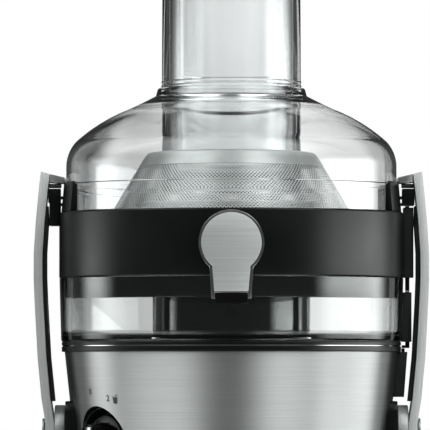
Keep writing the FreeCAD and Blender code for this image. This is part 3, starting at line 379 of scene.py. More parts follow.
# %% [markdown]
# ## Outlines with rounded corners
#
# A turned part is an outline spun about the drive axis. An outline is a few corners,
# each with the radius of its rounding, and a small curve takes each corner's place. A
# bevel after the spin would do too, but it would round every edge by the same radius.

# %% Rounded outlines and the lathe


def rounded(corners, segments=4):
    """A closed outline whose corners (x, y, radius) are replaced by small curves."""
    outline = []
    for place, (x, y, radius) in enumerate(corners):
        corner = Vector((x, y))
        before = Vector(corners[place - 1][:2]) - corner
        after = Vector(corners[(place + 1) % len(corners)][:2]) - corner
        half = before.angle(after) / 2
        if radius <= 0 or half > math.radians(89):
            outline.append((x, y))
            continue
        length = min(radius / math.tan(half), 0.49 * before.length, 0.49 * after.length)
        start = corner + before.normalized() * length
        end = corner + after.normalized() * length
        for number in range(segments + 1):
            share = number / segments
            point = start * (1 - share) ** 2 + corner * 2 * share * (1 - share) + end * share ** 2
            outline.append((point.x, point.y))
    return outline


def arc(start, via, end, segments=12):
    """Points of the circle through three points, from the second one on."""
    (ax, ay), (bx, by), (cx, cy) = start, via, end
    turn = 2 * (ax * (by - cy) + bx * (cy - ay) + cx * (ay - by))
    squares = [x * x + y * y for x, y in (start, via, end)]
    x = (squares[0] * (by - cy) + squares[1] * (cy - ay) + squares[2] * (ay - by)) / turn
    y = (squares[0] * (cx - bx) + squares[1] * (ax - cx) + squares[2] * (bx - ax)) / turn
    first = math.atan2(ay - y, ax - x)
    sweep = (math.atan2(cy - y, cx - x) - first + math.pi) % math.tau - math.pi
    radius = math.hypot(ax - x, ay - y)
    return [(x + radius * math.cos(first + sweep * number / segments),
             y + radius * math.sin(first + sweep * number / segments))
            for number in range(1, segments + 1)]


def lathe(outline, steps=160):
    """Spins a closed outline of (radius, height) about the drive axis."""
    shape = bmesh.new()
    corners = [shape.verts.new((radius * MM, 0, height * MM)) for radius, height in outline]
    rim = [shape.edges.new((corners[number - 1], corners[number])) for number in range(len(corners))]
    bmesh.ops.spin(shape, geom=corners + rim, cent=(0, 0, 0), axis=(0, 0, 1), dvec=(0, 0, 0),
                   angle=math.tau, steps=steps, use_merge=True, use_duplicate=False)
    bmesh.ops.remove_doubles(shape, verts=shape.verts, dist=1e-6)
    bmesh.ops.dissolve_degenerate(shape, edges=shape.edges, dist=1e-7)
    bmesh.ops.recalc_face_normals(shape, faces=shape.faces)
    return shape


print("a square with one rounded corner has", len(rounded([(0, 0, 0.3), (1, 0, 0), (1, 1, 0), (0, 1, 0)])),
      "points")

# %% [markdown]
# ## Rounding a CAD piece
#
# Moulded and pressed parts have no knife edges. For parts whose form is already right
# the CAD mesh is copied, its loose triangles are merged into flat faces again, and
# each edge gets a small round that catches the light. A Bevel modifier could do it, but
# the merging has to come first, so both are done on the mesh.

# %% Softening
EDGE_ANGLE = 30


def softened(node, width, body, slot, finish):
    """Stands for a CAD node with a copy whose edges are rounded by width millimetres."""
    shape = bmesh.new()
    shape.from_mesh(frame["nodes"][node].data)
    bmesh.ops.remove_doubles(shape, verts=shape.verts, dist=2e-6)
    bmesh.ops.dissolve_limit(shape, angle_limit=math.radians(0.5), verts=shape.verts,
                             edges=shape.edges, use_dissolve_boundaries=False)
    limit = math.radians(EDGE_ANGLE)
    edges = [edge for edge in shape.edges
             if len(edge.link_faces) == 2 and edge.calc_face_angle() > limit]
    bmesh.ops.bevel(shape, geom=edges, offset=width * MM, offset_type="OFFSET", segments=2,
                    profile=0.5, affect="EDGES", material=-1, clamp_overlap=True)
    return piece(node + "_finished", shape, body, slot, finish, [node], sharp=40)


print("edges sharper than", EDGE_ANGLE, "degrees are rounded")

# %% [markdown]
# ## The motor housing
#
# The housing is a wrap of brushed sheet round a moulded shell. It narrows downward in
# one soft curve. A cone would show a flat highlight, so the outline has large roundings
# where the taper changes. The knob's hole is cut afterwards with a Boolean, because a
# spun shape can't have it, and the cut is applied so that the mesh is final.

# %% Steel wrap
wrap_low = foot_of("steel_wrap")
wrap_top_rad = reach_of("steel_wrap")
skin = 0.8
wrap_side = [
    (wrap_top_rad, deck_z, 0.4), (wrap_top_rad - 3.2, deck_z - 29.7, 60),
    (wrap_top_rad - 8.4, deck_z - 73.7, 120), (wrap_top_rad - 11.4, deck_z - 113.7, 120),
    (wrap_top_rad - 10.4, wrap_low, 0.3),
]
wrap_back = [(radius - skin, height, 0 if number in (0, 4) else size)
             for number, (radius, height, size) in enumerate(wrap_side)][::-1]
wrap_shape = lathe(rounded(wrap_side + wrap_back, segments=6), steps=192)
steel_wrap = piece("steel_wrap_brushed", wrap_shape, "root", "brushed_steel", steel_round,
                   ["steel_wrap"])


def cut_by(made, tool_shape, name):
    """Cuts a shape out of a finished piece and applies the cut."""
    tool_mesh = bpy.data.meshes.new(name)
    tool_shape.to_mesh(tool_mesh)
    tool_shape.free()
    tool = bpy.data.objects.new(name, tool_mesh)
    bpy.context.scene.collection.objects.link(tool)
    cutter = made.modifiers.new("cut", "BOOLEAN")
    cutter.object = tool
    cutter.operation = "DIFFERENCE"
    cutter.solver = "EXACT"
    bpy.context.view_layer.update()
    seen = made.evaluated_get(bpy.context.evaluated_depsgraph_get())
    result = bpy.data.meshes.new_from_object(seen)
    made.modifiers.clear()
    made.data = result
    bpy.data.objects.remove(tool)


knob_low, knob_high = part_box("knob_bezel")
knob_joint = next(joint for joint in frame["joints"] if joint["name"] == "speed_knob_turn")
turn_to_knob = Vector(knob_joint["axis"]).to_track_quat("Z", "Y").to_matrix().to_4x4()
knob_place = Matrix.Translation(Vector(knob_joint["pos_m"])) @ turn_to_knob
hole_rad = (knob_high.z - knob_low.z) / 2 + 0.1 * MM
hole = bmesh.new()
bmesh.ops.create_cone(hole, cap_ends=True, segments=96, radius1=hole_rad, radius2=hole_rad,
                      depth=60 * MM, matrix=knob_place)
cut_by(steel_wrap, hole, "knob_hole")
print("wrap faces:", len(steel_wrap.data.polygons))

# %% [markdown]
# ## Deck ring and pulp container
#
# The container stands on a black ring with a thin bright groove. The container itself
# is a clear ring-shaped bowl: an outer wall, a floor and an inner tube that passes
# over the motor's neck. Its wall tapers by about a millimetre so that it leaves the
# mould. It is spun as one closed outline, so that the clear walls have two faces each.

# %% Deck ring and container
ring_rad = reach_of("deck_ring")
ring_z = top_of("deck_ring")
groove = deck_z + 3.4
piece("deck_ring_moulded", lathe(rounded([
    (ring_rad - 5, deck_z, 0.2), (ring_rad, deck_z, 0.5), (ring_rad, groove, 0.15),
    (ring_rad - 0.9, groove, 0), (ring_rad - 0.9, groove + 0.8, 0), (ring_rad, groove + 0.8, 0.15),
    (ring_rad, ring_z, 0.5), (ring_rad - 5, ring_z, 0.2),
], 3)), "root", "satin_black", satin_black, ["deck_ring"])
wire_z = groove + 0.4
piece("deck_ring_inlay", lathe(rounded([
    (ring_rad - 0.95, wire_z - 0.3, 0.1), (ring_rad - 0.5, wire_z - 0.3, 0.1),
    (ring_rad - 0.5, wire_z + 0.3, 0.1), (ring_rad - 0.95, wire_z + 0.3, 0.1),
], 2)), "root", "bright_chrome", chrome)

wall = 2.4
bowl_low_rad = band_rad - 1.3
tube_wall_rad = 51.0
pulp_container = piece("pulp_container_clear", lathe(rounded([
    (tube_wall_rad - 1.7, ring_z, 0.4), (bowl_low_rad, ring_z, 1.8), (band_rad - 0.2, rim_z, 0.5),
    (band_rad - 0.2 - wall, rim_z, 0.5), (bowl_low_rad - wall, ring_z + 2.2, 5),
    (tube_wall_rad, ring_z + 2.2, 3), (tube_wall_rad, rim_z - 6, 0.7),
    (tube_wall_rad - 1.7, rim_z - 6, 0.7),
], 5), steps=192), "root", "clear_copolyester", clear_bowl, ["pulp_container"])
print("container:", len(pulp_container.data.polygons), "faces")

# %% [markdown]
# ## Juice collector
#
# The black band is the outside of the juice collector, a ring-shaped channel. Its
# upper band is satin. Below it a polished skirt drops into the container, and it shows
# as a mirror through the clear wall. One mesh could hold both finishes, but a separate
# piece for the skirt keeps one material to a piece.

# %% Collector
band_z = foot_of("lid_dome")
channel_rad = 85.5
ledge_rad = 103
band = [
    (band_rad - 2.8, rim_z + 0.1, 0.3), (band_rad, rim_z + 0.1, 1.0), (band_rad, band_z, 1.4),
    (ledge_rad, band_z, 0.6), (ledge_rad, band_z - 2.2, 0.4), (band_rad - 3, band_z - 2.2, 2),
    (band_rad - 3, rim_z + 4, 6), (channel_rad, rim_z + 4, 4), (channel_rad, band_z - 1.4, 0.8),
    (channel_rad - 2, band_z - 1.4, 0.8), (channel_rad - 2, rim_z + 1.6, 2),
    (band_rad - 6, rim_z + 1.6, 2),
]
piece("juice_collector_band", lathe(rounded(band, 4), steps=192), "root",
      "satin_black", satin_black, ["juice_collector"])
skirt = [
    (band_rad - 5.4, rim_z - 13.5, 0.6), (band_rad - 3.6, rim_z - 13.5, 0.6),
    (band_rad - 3.2, rim_z + 0.05, 0.1), (band_rad - 5.4, rim_z + 0.05, 0.1),
]
piece("juice_collector_skirt", lathe(rounded(skirt, 3), steps=192), "root",
      "gloss_black", gloss_black)
print("collector band from", round(rim_z, 1), "to", round(band_z, 1))

# %% [markdown]
# ## Lid, feed tube and pusher
#
# The lid's dome runs out from the collar in a shallow curve and turns down in one wide
# round. Its wall is 2.5 to 3 mm thick, and the tube's is 5 mm. Each side of the wall is a
# chain of true arcs, because even a slight kink would show as a line in the reflections.
# The feed tube passes through the collar down to the sieve, and two moulded rings mark
# the joint. The pusher is a hollow clear cup with a black cap on it.

# %% Lid
lip_rad = reach_of("lid_dome")
collar_z = top_of("lid_dome")
lid_foot = 105.7
lip_z = 271.0
shoulder_z = 283.7
out_slope, out_crown = (100.0, 299.2), (66.4, 319.8)
in_slope, in_crown = (98.2, 297.0), (65.2, 316.9)
dome_out = [(lid_foot, band_z + 0.4), (lid_foot, lip_z), (lip_rad - 0.3, lip_z + 0.1),
            (lip_rad, lip_z + 0.5), (lip_rad, shoulder_z)]
dome_out += arc((lip_rad, shoulder_z), (104.6, 292.2), out_slope)
dome_out += arc(out_slope, (84.8, 310.6), out_crown)
dome_out += arc(out_crown, (56.4, 324.6), (48.7, 328.6))
dome_out += [(47.7, collar_z - 0.8), (46.9, collar_z), (45.1, collar_z), (45.1, 325.8)]
dome_in = arc((45.1, 325.8), (55.8, 321.6), in_crown) + arc(in_crown, (83.2, 308.0), in_slope)
dome_in += arc(in_slope, (102.4, 290.8), (104.0, shoulder_z))
dome_in += [(104.0, lip_z + 0.6), (lid_foot - 2.3, lip_z), (lid_foot - 2.3, band_z + 0.4)]
lid = piece("lid_dome_clear", lathe(dome_out + dome_in, steps=192), "root",
            "clear_copolyester", clear_lid, ["lid_dome"])
print("lid:", len(lid.data.polygons), "faces")

# %% Feed tube
tube_low = foot_of("feed_tube")
tube_top = top_of("feed_tube")
tube_rad, bore_rad = 45, 40
piece("feed_tube_clear", lathe(rounded([
    (bore_rad, tube_low, 1.2), (tube_rad, tube_low, 1.2), (tube_rad, collar_z + 1.0, 0.2),
    (tube_rad + 0.5, collar_z + 1.4, 0.3), (tube_rad, collar_z + 1.8, 0.2),
    (tube_rad - 0.1, collar_z + 3.6, 0.2), (tube_rad + 0.4, collar_z + 4, 0.3),
    (tube_rad - 0.1, collar_z + 4.4, 0.2), (tube_rad - 0.5, tube_top, 1.5), (bore_rad, tube_top, 1.5),
], 3), steps=160), "root", "clear_copolyester", clear_lid, ["feed_tube"])
print("feed tube from", round(tube_low, 1), "to", round(tube_top, 1))

# %% Pusher
pusher_low = foot_of("pusher_body")
pusher_rad = reach_of("pusher_body")
pusher_wall, pusher_floor = 3.7, 3.5
piece("pusher_body_clear", lathe(rounded([
    (0, pusher_low, 0), (pusher_rad, pusher_low, 3.5), (pusher_rad, tube_top + 0.4, 0.3),
    (pusher_rad - pusher_wall, tube_top + 0.4, 0.3), (pusher_rad - pusher_wall, pusher_low + pusher_floor, 3),
    (0, pusher_low + pusher_floor, 0),
], 4), steps=128), "pusher", "clear_copolyester", clear_pusher, ["pusher_body"])
cap_rad = reach_of("pusher_cap")
cap_low = foot_of("pusher_cap")
cap_top = top_of("pusher_cap")
piece("pusher_cap_moulded", lathe(rounded([
    (0, cap_low, 0), (cap_rad - 1, cap_low, 0.6), (cap_rad, cap_low + 2, 0.8), (cap_rad, cap_top - 1, 3),
    (cap_rad - 9, cap_top, 6), (cap_rad - 12, cap_top - 1.4, 2), (0, cap_top - 2.2, 0),
], 5), steps=128), "pusher", "satin_black", satin_black, ["pusher_cap"])
print("pusher from", round(pusher_low, 1), "to", round(cap_top, 1))

# %% [markdown]
# ## The sieve
#
# The sieve is a cone of stainless sheet with photo-etched holes. A picture of holes
# would stay flat, so they are real here: the cone is spun as a grid, every second cell
# is inset like a square of a chessboard, and its middle is taken out. The cells are
# 1.2 mm wide, about twice the real spacing, or the holes would vanish at this size. Two
# bands keep each mesh light.

# %% Perforated cone
mesh_low_rad = reach_of("sieve_mesh")
mesh_low = foot_of("sieve_mesh")
mesh_top = foot_of("sieve_rim")
mesh_top_rad = reach_of("sieve_rim")
PITCH = 1.2
HOLE_INSET = 0.11


def perforated(name, low, high, stands_for):
    """A band of the cone between two heights, with a hole in each cell of its grid."""
    def radius_at(height):
        share = (height - mesh_low) / (mesh_top - mesh_low)
        return mesh_low_rad + (mesh_top_rad - mesh_low_rad) * share

    start = Vector((radius_at(low), 0, low))
    end = Vector((radius_at(high), 0, high))
    rows = round((end - start).length / PITCH)
    columns = 2 * round(math.pi * radius_at((low + high) / 2) / PITCH)
    shape = bmesh.new()
    points = [shape.verts.new(start.lerp(end, number / rows) * MM) for number in range(rows + 1)]
    line = [shape.edges.new(points[number:number + 2]) for number in range(rows)]
    bmesh.ops.spin(shape, geom=points + line, cent=(0, 0, 0), axis=(0, 0, 1), dvec=(0, 0, 0),
                   angle=math.tau, steps=columns, use_merge=True, use_duplicate=False)
    bmesh.ops.remove_doubles(shape, verts=shape.verts, dist=1e-6)
    bmesh.ops.recalc_face_normals(shape, faces=shape.faces)
    cells = []
    for face in shape.faces:
        centre = face.calc_center_median()
        column = math.floor(math.atan2(centre.y, centre.x) / math.tau * columns)
        row = math.floor((centre.z / MM - low) / (high - low) * rows)
        if (row + column) % 2 == 0:
            cells.append(face)
    bmesh.ops.inset_individual(shape, faces=cells, thickness=HOLE_INSET * MM, depth=0,
                               use_even_offset=False)
    bmesh.ops.delete(shape, geom=cells, context="FACES_KEEP_BOUNDARY")
    print(name, rows, "rows of", columns // 2, "holes")
    return piece(name, shape, "rotor", "brushed_steel", cone_steel, stands_for)


middle = (mesh_low + mesh_top) / 2
perforated("sieve_cone_upper", middle, mesh_top, ["sieve_mesh"])
perforated("sieve_cone_lower", mesh_low, middle, [])

# %% Sieve rim
rim_top = top_of("sieve_rim")
sheet = 1.2
mouth_rad, shoulder_rad = 47, 53.5
piece("sieve_rim_pressed", lathe(rounded([
    (mesh_top_rad - sheet, mesh_top, 0.2), (mesh_top_rad, mesh_top, 0.4), (shoulder_rad, rim_top, 3.5),
    (mouth_rad, rim_top, 0.5), (mouth_rad, rim_top - sheet, 0.3), (shoulder_rad - 1.1, rim_top - sheet, 2.5),
], 6), steps=160), "rotor", "brushed_steel", etched_steel, ["sieve_rim"])
print("sieve rim from", round(mesh_top, 1), "to", round(rim_top, 1))

# %% [markdown]
# ## Grater disc
#
# The disc under the feed tube shreds the fruit. It is pressed from stainless sheet, and
# rings of small raised teeth do the cutting. One tooth is a low pyramid, and spinning
# copies of it round the axis fills a ring.

# %% Grater disc and its teeth
disc_low = foot_of("grater_disc")
disc_top = top_of("grater_disc")
disc_rad, disc_bore_rad = 62, 5.1
tooth_size, tooth_height = 1.0, 1.4
grater = lathe(rounded([
    (disc_bore_rad, disc_low, 0), (disc_rad, disc_low, 0.3), (disc_rad, disc_top, 0.3),
    (disc_bore_rad, disc_top, 0),
], 2), steps=96)


def tooth_ring(shape, radius, count):
    """Adds one ring of low pyramids standing on the disc."""
    middle = Vector((radius, 0, disc_top + tooth_height / 2)) * MM
    made = bmesh.ops.create_cone(shape, cap_ends=True, segments=4, radius1=tooth_size * MM,
                                 radius2=tooth_size * 0.1 * MM, depth=tooth_height * MM,
                                 matrix=Matrix.Translation(middle))
    geometry = made["verts"] + [edge for edge in shape.edges
                                if all(vert in made["verts"] for vert in edge.verts)]
    geometry += [face for face in shape.faces if all(vert in made["verts"] for vert in face.verts)]
    bmesh.ops.spin(shape, geom=geometry, cent=(0, 0, 0), axis=(0, 0, 1), dvec=(0, 0, 0),
                   angle=math.tau * (count - 1) / count, steps=count - 1, use_duplicate=True,
                   use_merge=False)


for number, radius in enumerate(range(12, 60, 5)):
    tooth_ring(grater, radius, 10 + number * 6)
print("grater:", len(grater.faces), "faces")
piece("grater_disc_toothed", grater, "rotor", "brushed_steel", etched_steel, ["grater_disc"])

# %% [markdown]
# ## Parts whose form is already right
#
# The arms, lugs, spines, knob and spout keep the CAD's form. They only need rounded
# edges and their finish. A table lists each with the radius of its edges.

# %% Rounded copies
ROUNDED = [
    ("left_arm", 1.3, "left_locking_arm", "brushed_steel", steel_long),
    ("right_arm", 1.3, "right_locking_arm", "brushed_steel", steel_long),
    ("left_arm_liner", 0.5, "left_locking_arm", "satin_black", trim_black),
    ("right_arm_liner", 0.5, "right_locking_arm", "satin_black", trim_black),
    ("left_hook_plate", 0.5, "left_locking_arm", "brushed_steel", steel_round),
    ("right_hook_plate", 0.5, "right_locking_arm", "brushed_steel", steel_round),
    ("left_hook_pin", 0.4, "left_locking_arm", "bright_chrome", chrome),
    ("right_hook_pin", 0.4, "right_locking_arm", "bright_chrome", chrome),
    ("left_arm_hub", 0.8, "left_locking_arm", "brushed_steel", steel_face),
    ("right_arm_hub", 0.8, "right_locking_arm", "brushed_steel", steel_face),
    ("arm_pivot_pins", 0.5, "root", "brushed_steel", zinc),
    ("side_plates", 1.6, "root", "satin_black", satin_black),
    ("lid_lugs", 0.35, "root", "satin_black", satin_black),
    ("collector_spine", 0.5, "root", "satin_black", trim_black),
    ("container_spine", 0.5, "root", "satin_black", trim_black),
    ("housing_spine", 0.5, "root", "satin_black", trim_black),
    ("spout_body", 0.8, "spout", "bright_chrome", chrome),
    ("spout_plate", 0.4, "spout", "brushed_steel", steel_face),
    ("spout_nozzle", 0.4, "spout", "gloss_black", gloss_black),
    ("knob_bezel", 0.6, "root", "gloss_black", knob_black),
    ("knob_body", 1.0, "control_knob", "gloss_black", knob_black),
    ("knob_insert", 0.25, "control_knob", "bright_chrome", chrome),
    ("base_tray", 0.4, "root", "moulded_black", trim_black),
    ("rubber_feet", 0.8, "root", "rubber", rubber),
    ("base_screws", 0.3, "root", "zinc_screws", zinc),
    ("cord_gland", 0.7, "root", "moulded_black", trim_black),
]
for node, width, body, slot, finish in ROUNDED:
    softened(node, width, body, slot, finish)
print(len(ROUNDED), "pieces rounded")

# %% [markdown]
# ## What stays as it is
#
# Inner parts hardly show, so they keep the CAD mesh. They still get the material of
# the real thing, because the base can be opened and looked into.

# %% Materials of the CAD nodes
INNER = {
    inner_black: ["housing_shell", "rotary_switch", "interlock_switch", "interlock_rods",
                  "drive_coupling", "cooling_fan", "sieve_base"],
    rubber: ["vibration_mounts", "lid_seal", "shaft_seal"],
    zinc: ["motor_shaft", "bearing_outer_rings", "bearing_inner_rings"],
    laminations: ["stator", "armature_core"],
    copper: ["field_coils", "armature_windings", "commutator", "brush_holders"],
    aluminium: ["lower_motor_bracket", "upper_motor_bracket"],
    carbon: ["carbon_brushes"],
    board_green: ["control_board"],
}
for finish, nodes in INNER.items():
    for node in nodes:
        mesh = frame["nodes"][node].data
        mesh.materials.clear()
        mesh.materials.append(finish)
left_over = [node for node, made in frame["nodes"].items()
             if not made.hide_render and node not in sum(INNER.values(), [])]
print("nodes with no finish of their own:", left_over)

# %% [markdown]
# ## The markings beside the knob
#
# The positions of the knob are printed on the steel: 0 for off, and two speeds, each
# with a small tumbler. Screen printing leaves a film of dark ink. An image would need a
# picture file, so each mark is a thin flat shape, laid on the steel at its own angle
# round the housing and leaning outward as the steel does there.

# %% Printed marks
FIGURE_SIZE = 5.6
ink = moulded("screen_printing_ink", "#2c302f", "#333736", (0.5, 0.6), 0.5, 0.01)
STEEL_LEAN = 6.1
PRINT_RAD = 104.45
PRINT_FOOT = 134


def printed(name, shape, azimuth, height):
    """Lays a flat shape, drawn in millimetres, on the steel at an angle from the front."""
    turned = (Matrix.Rotation(math.radians(azimuth), 4, "Z")
              @ Matrix.Rotation(math.radians(90 + STEEL_LEAN), 4, "X"))
    radius = PRINT_RAD + (height - PRINT_FOOT) * math.tan(math.radians(STEEL_LEAN))
    place = Matrix.Translation(Vector((math.sin(math.radians(azimuth)) * radius,
                                       -math.cos(math.radians(azimuth)) * radius, height)) * MM)
    bmesh.ops.transform(shape, matrix=place @ turned @ Matrix.Scale(MM, 4), verts=shape.verts)
    bmesh.ops.solidify(shape, geom=shape.faces[:], thickness=0.05 * MM)
    bmesh.ops.recalc_face_normals(shape, faces=shape.faces)
    return piece(name, shape, "root", "satin_black", ink)


def numeral(figure):
    """A figure as a flat mesh, in millimetres."""
    curve = bpy.data.curves.new("figure_" + figure, "FONT")
    curve.body = figure
    curve.size = FIGURE_SIZE
    curve.align_x = curve.align_y = "CENTER"
    holder = bpy.data.objects.new("figure_" + figure, curve)
    bpy.context.scene.collection.objects.link(holder)
    bpy.context.view_layer.update()
    shape = bmesh.new()
    shape.from_mesh(holder.to_mesh())
    holder.to_mesh_clear()
    bpy.data.objects.remove(holder)
    bmesh.ops.remove_doubles(shape, verts=shape.verts, dist=0.001)
    return shape


def tumbler():
    """A drinking glass with a straw, six millimetres tall."""
    shape = bmesh.new()
    for corners in (((-1.3, -2.6), (1.3, -2.6), (2.0, 1.4), (-2.0, 1.4)),
                    ((-2.3, 1.7), (-1.9, 1.7), (-1.9, 2.2), (-2.3, 2.2)),
                    ((-0.1, 1.7), (0.4, 1.7), (1.0, 2.6), (0.6, 2.8)),
                    ((0.8, 2.5), (2.2, 2.9), (2.1, 3.3), (0.6, 2.8))):
        shape.faces.new([shape.verts.new((x, y, 0)) for x, y in corners])
    return shape


printed("mark_off", numeral("0"), -58.6, 138.0)
printed("mark_speed_two", numeral("2"), -48.4, 134.0)
printed("mark_tumbler_two", tumbler(), -44.7, 133.4)
printed("mark_speed_one", numeral("1"), -69.5, 134.0)
printed("mark_tumbler_one", tumbler(), -74.5, 133.4)
print("marks printed", round(PRINT_RAD - wrap_top_rad, 1), "mm from the wrap's widest radius")

# %% [markdown]
# ## The studio
#
# A pale floor in a dim surround with soft-edged lights drawn on it. Steel and clear
# plastic show what is around them. Two lights level with the bowl draw the bright
# bands at both sides, broad ones above and below feed the steel, whose brushing
# blurs reflections up and down, and the dim front keeps the black parts black. A
# white card behind the juicer lights what is seen straight through the clear parts. Area
# lights alone would mirror as hard rectangles, so they only light the matt parts.

# %% Floor and card
FLOOR_RAD = 5.0
CARD_HALF_WIDTH = 112
CARD_TONES = ((-102, 0.0), (-84, 0.8), (-68, 0.6), (-50, 0.62), (-20, 0.9), (20, 1.0), (92, 0.92), (108, 0.5))


def plain(name, colour, strength=0.0):
    """A plain surface for the studio, which may shine by itself."""
    made = bpy.data.materials.new(name)
    made.use_nodes = True
    shader = made.node_tree.nodes["Principled BSDF"]
    shader.inputs["Base Color"].default_value = linear(colour)
    shader.inputs["Roughness"].default_value = 0.6
    shader.inputs["Specular IOR Level"].default_value = 0.0
    shader.inputs["Emission Color"].default_value = (1, 1, 1, 1)
    shader.inputs["Emission Strength"].default_value = strength
    return made


def staged(name, shape, finish):
    """A piece of the studio, which isn't part of the juicer."""
    mesh = bpy.data.meshes.new(name)
    shape.to_mesh(mesh)
    shape.free()
    made = bpy.data.objects.new(name, mesh)
    bpy.context.scene.collection.objects.link(made)
    made.data.materials.append(finish)
    return made


shape = bmesh.new()
bmesh.ops.create_circle(shape, cap_ends=True, segments=96, radius=FLOOR_RAD)
floor_paint = plain("studio_floor_paint", "#f2f2f1", 0.45)
tree = floor_paint.node_tree
unseen = add(tree, "ShaderNodeBsdfTransparent")
path = add(tree, "ShaderNodeLightPath")
either = add(tree, "ShaderNodeMixShader", {0: path.outputs["Is Camera Ray"], 1: unseen.outputs[0],
                                           2: tree.nodes["Principled BSDF"].outputs[0]})
tree.links.new(either.outputs[0], tree.nodes["Material Output"].inputs["Surface"])
staged("studio_floor", shape, floor_paint)

card_paint = plain("studio_card_paint", "#000000", 1.0)
tree = card_paint.node_tree
across = add(tree, "ShaderNodeTexCoord").outputs["Object"]
across = add(tree, "ShaderNodeSeparateXYZ", {0: across})
shade = add(tree, "ShaderNodeMapRange", {"Value": across.outputs["X"],
                                         "From Min": -CARD_HALF_WIDTH * MM,
                                         "From Max": CARD_HALF_WIDTH * MM})
ramp = add(tree, "ShaderNodeValToRGB", {"Fac": shade.outputs[0]})
ramp.color_ramp.interpolation = "EASE"
stops = ramp.color_ramp.elements
for place, tone in CARD_TONES:
    stop = stops.new((place + CARD_HALF_WIDTH) / (2 * CARD_HALF_WIDTH))
    stop.color = (tone, tone, tone, 1)
stops.remove(stops[0])
stops.remove(stops[-1])
lift = add(tree, "ShaderNodeMapRange", {"Value": across.outputs["Z"], "From Min": 0.325,
                                        "From Max": 0.345, "To Min": 0.98, "To Max": 1.12})
glow = add(tree, "ShaderNodeMath", {0: ramp.outputs["Color"], 1: lift.outputs[0]},
           operation="MULTIPLY")
tree.links.new(glow.outputs[0], tree.nodes["Principled BSDF"].inputs["Emission Strength"])
shape = bmesh.new()
bmesh.ops.create_grid(shape, x_segments=1, y_segments=1, size=0.5)
bmesh.ops.scale(shape, vec=(0.24, 0.5, 1), verts=shape.verts)
bmesh.ops.rotate(shape, cent=(0, 0, 0), matrix=Matrix.Rotation(math.pi / 2, 3, "X"), verts=shape.verts)
bmesh.ops.translate(shape, vec=(0, 0.16, 0.26), verts=shape.verts)
back_card = staged("studio_back_card", shape, card_paint)
back_card.visible_camera = False
back_card.visible_glossy = False
back_card.visible_diffuse = False
back_card.visible_shadow = False
print("card with", len(CARD_TONES), "tones across")

# %% Light for matt parts
LIT_HEIGHT = 230


def soft_light(name, azimuth, elevation, distance, size, power):
    """A large soft light that lights matt surfaces without showing in gloss ones."""
    around, up = math.radians(azimuth), math.radians(elevation)
    away = Vector((math.sin(around) * math.cos(up), -math.cos(around) * math.cos(up), math.sin(up)))
    light = bpy.data.lights.new(name, "AREA")
    light.size = size
    light.energy = power
    made = bpy.data.objects.new(name, light)
    made.location = Vector((0, 0, LIT_HEIGHT * MM)) + away * distance
    made.rotation_euler = away.to_track_quat("Z", "Y").to_euler()
    made.visible_camera = False
    made.visible_glossy = False
    made.visible_transmission = False
    bpy.context.scene.collection.objects.link(made)


soft_light("light_front", 25, 25, 2.2, 1.6, 40)
soft_light("light_back", 180, 35, 2.2, 1.6, 25)
print("two soft lights,", LIT_HEIGHT, "mm above the floor's level at their aim")

# %% Surround


def patch(tree, azimuth, height, centre, wide, level, tall, blur, strength):
    """A soft-edged light on the surround. Its place and size are in degrees."""
    value = strength
    for angle, middle, size in ((azimuth, centre, wide), (height, level, tall)):
        away = add(tree, "ShaderNodeMath", {0: angle, 1: math.radians(middle)},
                   operation="SUBTRACT")
        away = add(tree, "ShaderNodeMath", {0: away.outputs[0]}, operation="ABSOLUTE")
        inputs = {"Value": away.outputs[0], "From Min": math.radians(size / 2 - blur),
                  "From Max": math.radians(size / 2 + blur), "To Min": value, "To Max": 0.0}
        value = add(tree, "ShaderNodeMapRange", inputs, interpolation_type="SMOOTHSTEP").outputs[0]
    return value


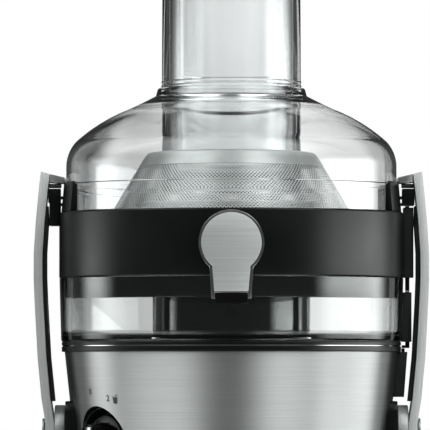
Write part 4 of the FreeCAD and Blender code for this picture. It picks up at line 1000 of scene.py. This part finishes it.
world = bpy.data.worlds.new("studio_surround")
bpy.context.scene.world = world
world.use_nodes = True
tree = world.node_tree
tree.nodes.clear()
toward = add(tree, "ShaderNodeTexCoord").outputs["Generated"]
toward = add(tree, "ShaderNodeSeparateXYZ", {0: toward})
front = add(tree, "ShaderNodeMath", {0: toward.outputs["Y"], 1: -1.0}, operation="MULTIPLY")
azimuth = add(tree, "ShaderNodeMath", {0: toward.outputs["X"], 1: front.outputs[0]},
              operation="ARCTAN2").outputs[0]
height = add(tree, "ShaderNodeMath", {0: toward.outputs["Z"]}, operation="ARCSINE").outputs[0]
LIGHTS = [
    ("right, level", 93, 56, 0, 20, 9, 4.4),
    ("left, level", -104, 22, 0, 22, 9, 3.2),
    ("right, above", 50, 52, 50, 46, 14, 2.6),
    ("right, below", 50, 52, -50, 46, 14, 2.6),
    ("left, above", -66, 74, 50, 46, 14, 2.2),
    ("left, below", -66, 74, -50, 46, 14, 2.2),
    ("front, above", 0, 70, 50, 46, 14, 0.22),
    ("front, below", 0, 70, -50, 46, 14, 0.22),
]
total = 0.07
for _, centre, wide, level, tall, blur, strength in LIGHTS:
    light = patch(tree, azimuth, height, centre, wide, level, tall, blur, strength)
    total = add(tree, "ShaderNodeMath", {0: light, 1: total}, operation="ADD").outputs[0]
seen = add(tree, "ShaderNodeBackground", {"Color": (1, 1, 1, 1), "Strength": 1.0})
dim = add(tree, "ShaderNodeBackground", {"Color": (0.965, 1.0, 0.997, 1), "Strength": total})
path = add(tree, "ShaderNodeLightPath")
both = add(tree, "ShaderNodeMixShader", {0: path.outputs["Is Camera Ray"], 1: dim.outputs[0],
                                         2: seen.outputs[0]})
add(tree, "ShaderNodeOutputWorld", {"Surface": both.outputs[0]})
print(len(LIGHTS), "lights on the surround")

# %% [markdown]
# ## The camera
#
# A long lens from a little over three metres keeps the verticals upright. It looks
# from just above the housing's shoulder, slightly upward.

# %% Camera
camera_data = bpy.data.cameras.new("camera")
camera = bpy.data.objects.new("camera", camera_data)
bpy.context.scene.collection.objects.link(camera)
eye = Vector((0, -3.3, 0.150))
aim = Vector((-0.01056, 0, 0.252))
frame_width = 0.2774
camera.location = eye
camera.rotation_euler = (eye - aim).to_track_quat("Z", "Y").to_euler()
camera_data.sensor_width = 36
camera_data.lens = 36 * (aim - eye).length / frame_width
camera_data.clip_end = 100
bpy.context.scene.camera = camera
bpy.context.scene.view_settings.view_transform = "Standard"
BOUNCES = 24
bpy.context.scene.cycles.max_bounces = BOUNCES
bpy.context.scene.cycles.transmission_bounces = BOUNCES
bpy.context.scene.cycles.transparent_max_bounces = BOUNCES
print("lens:", round(camera_data.lens), "mm")
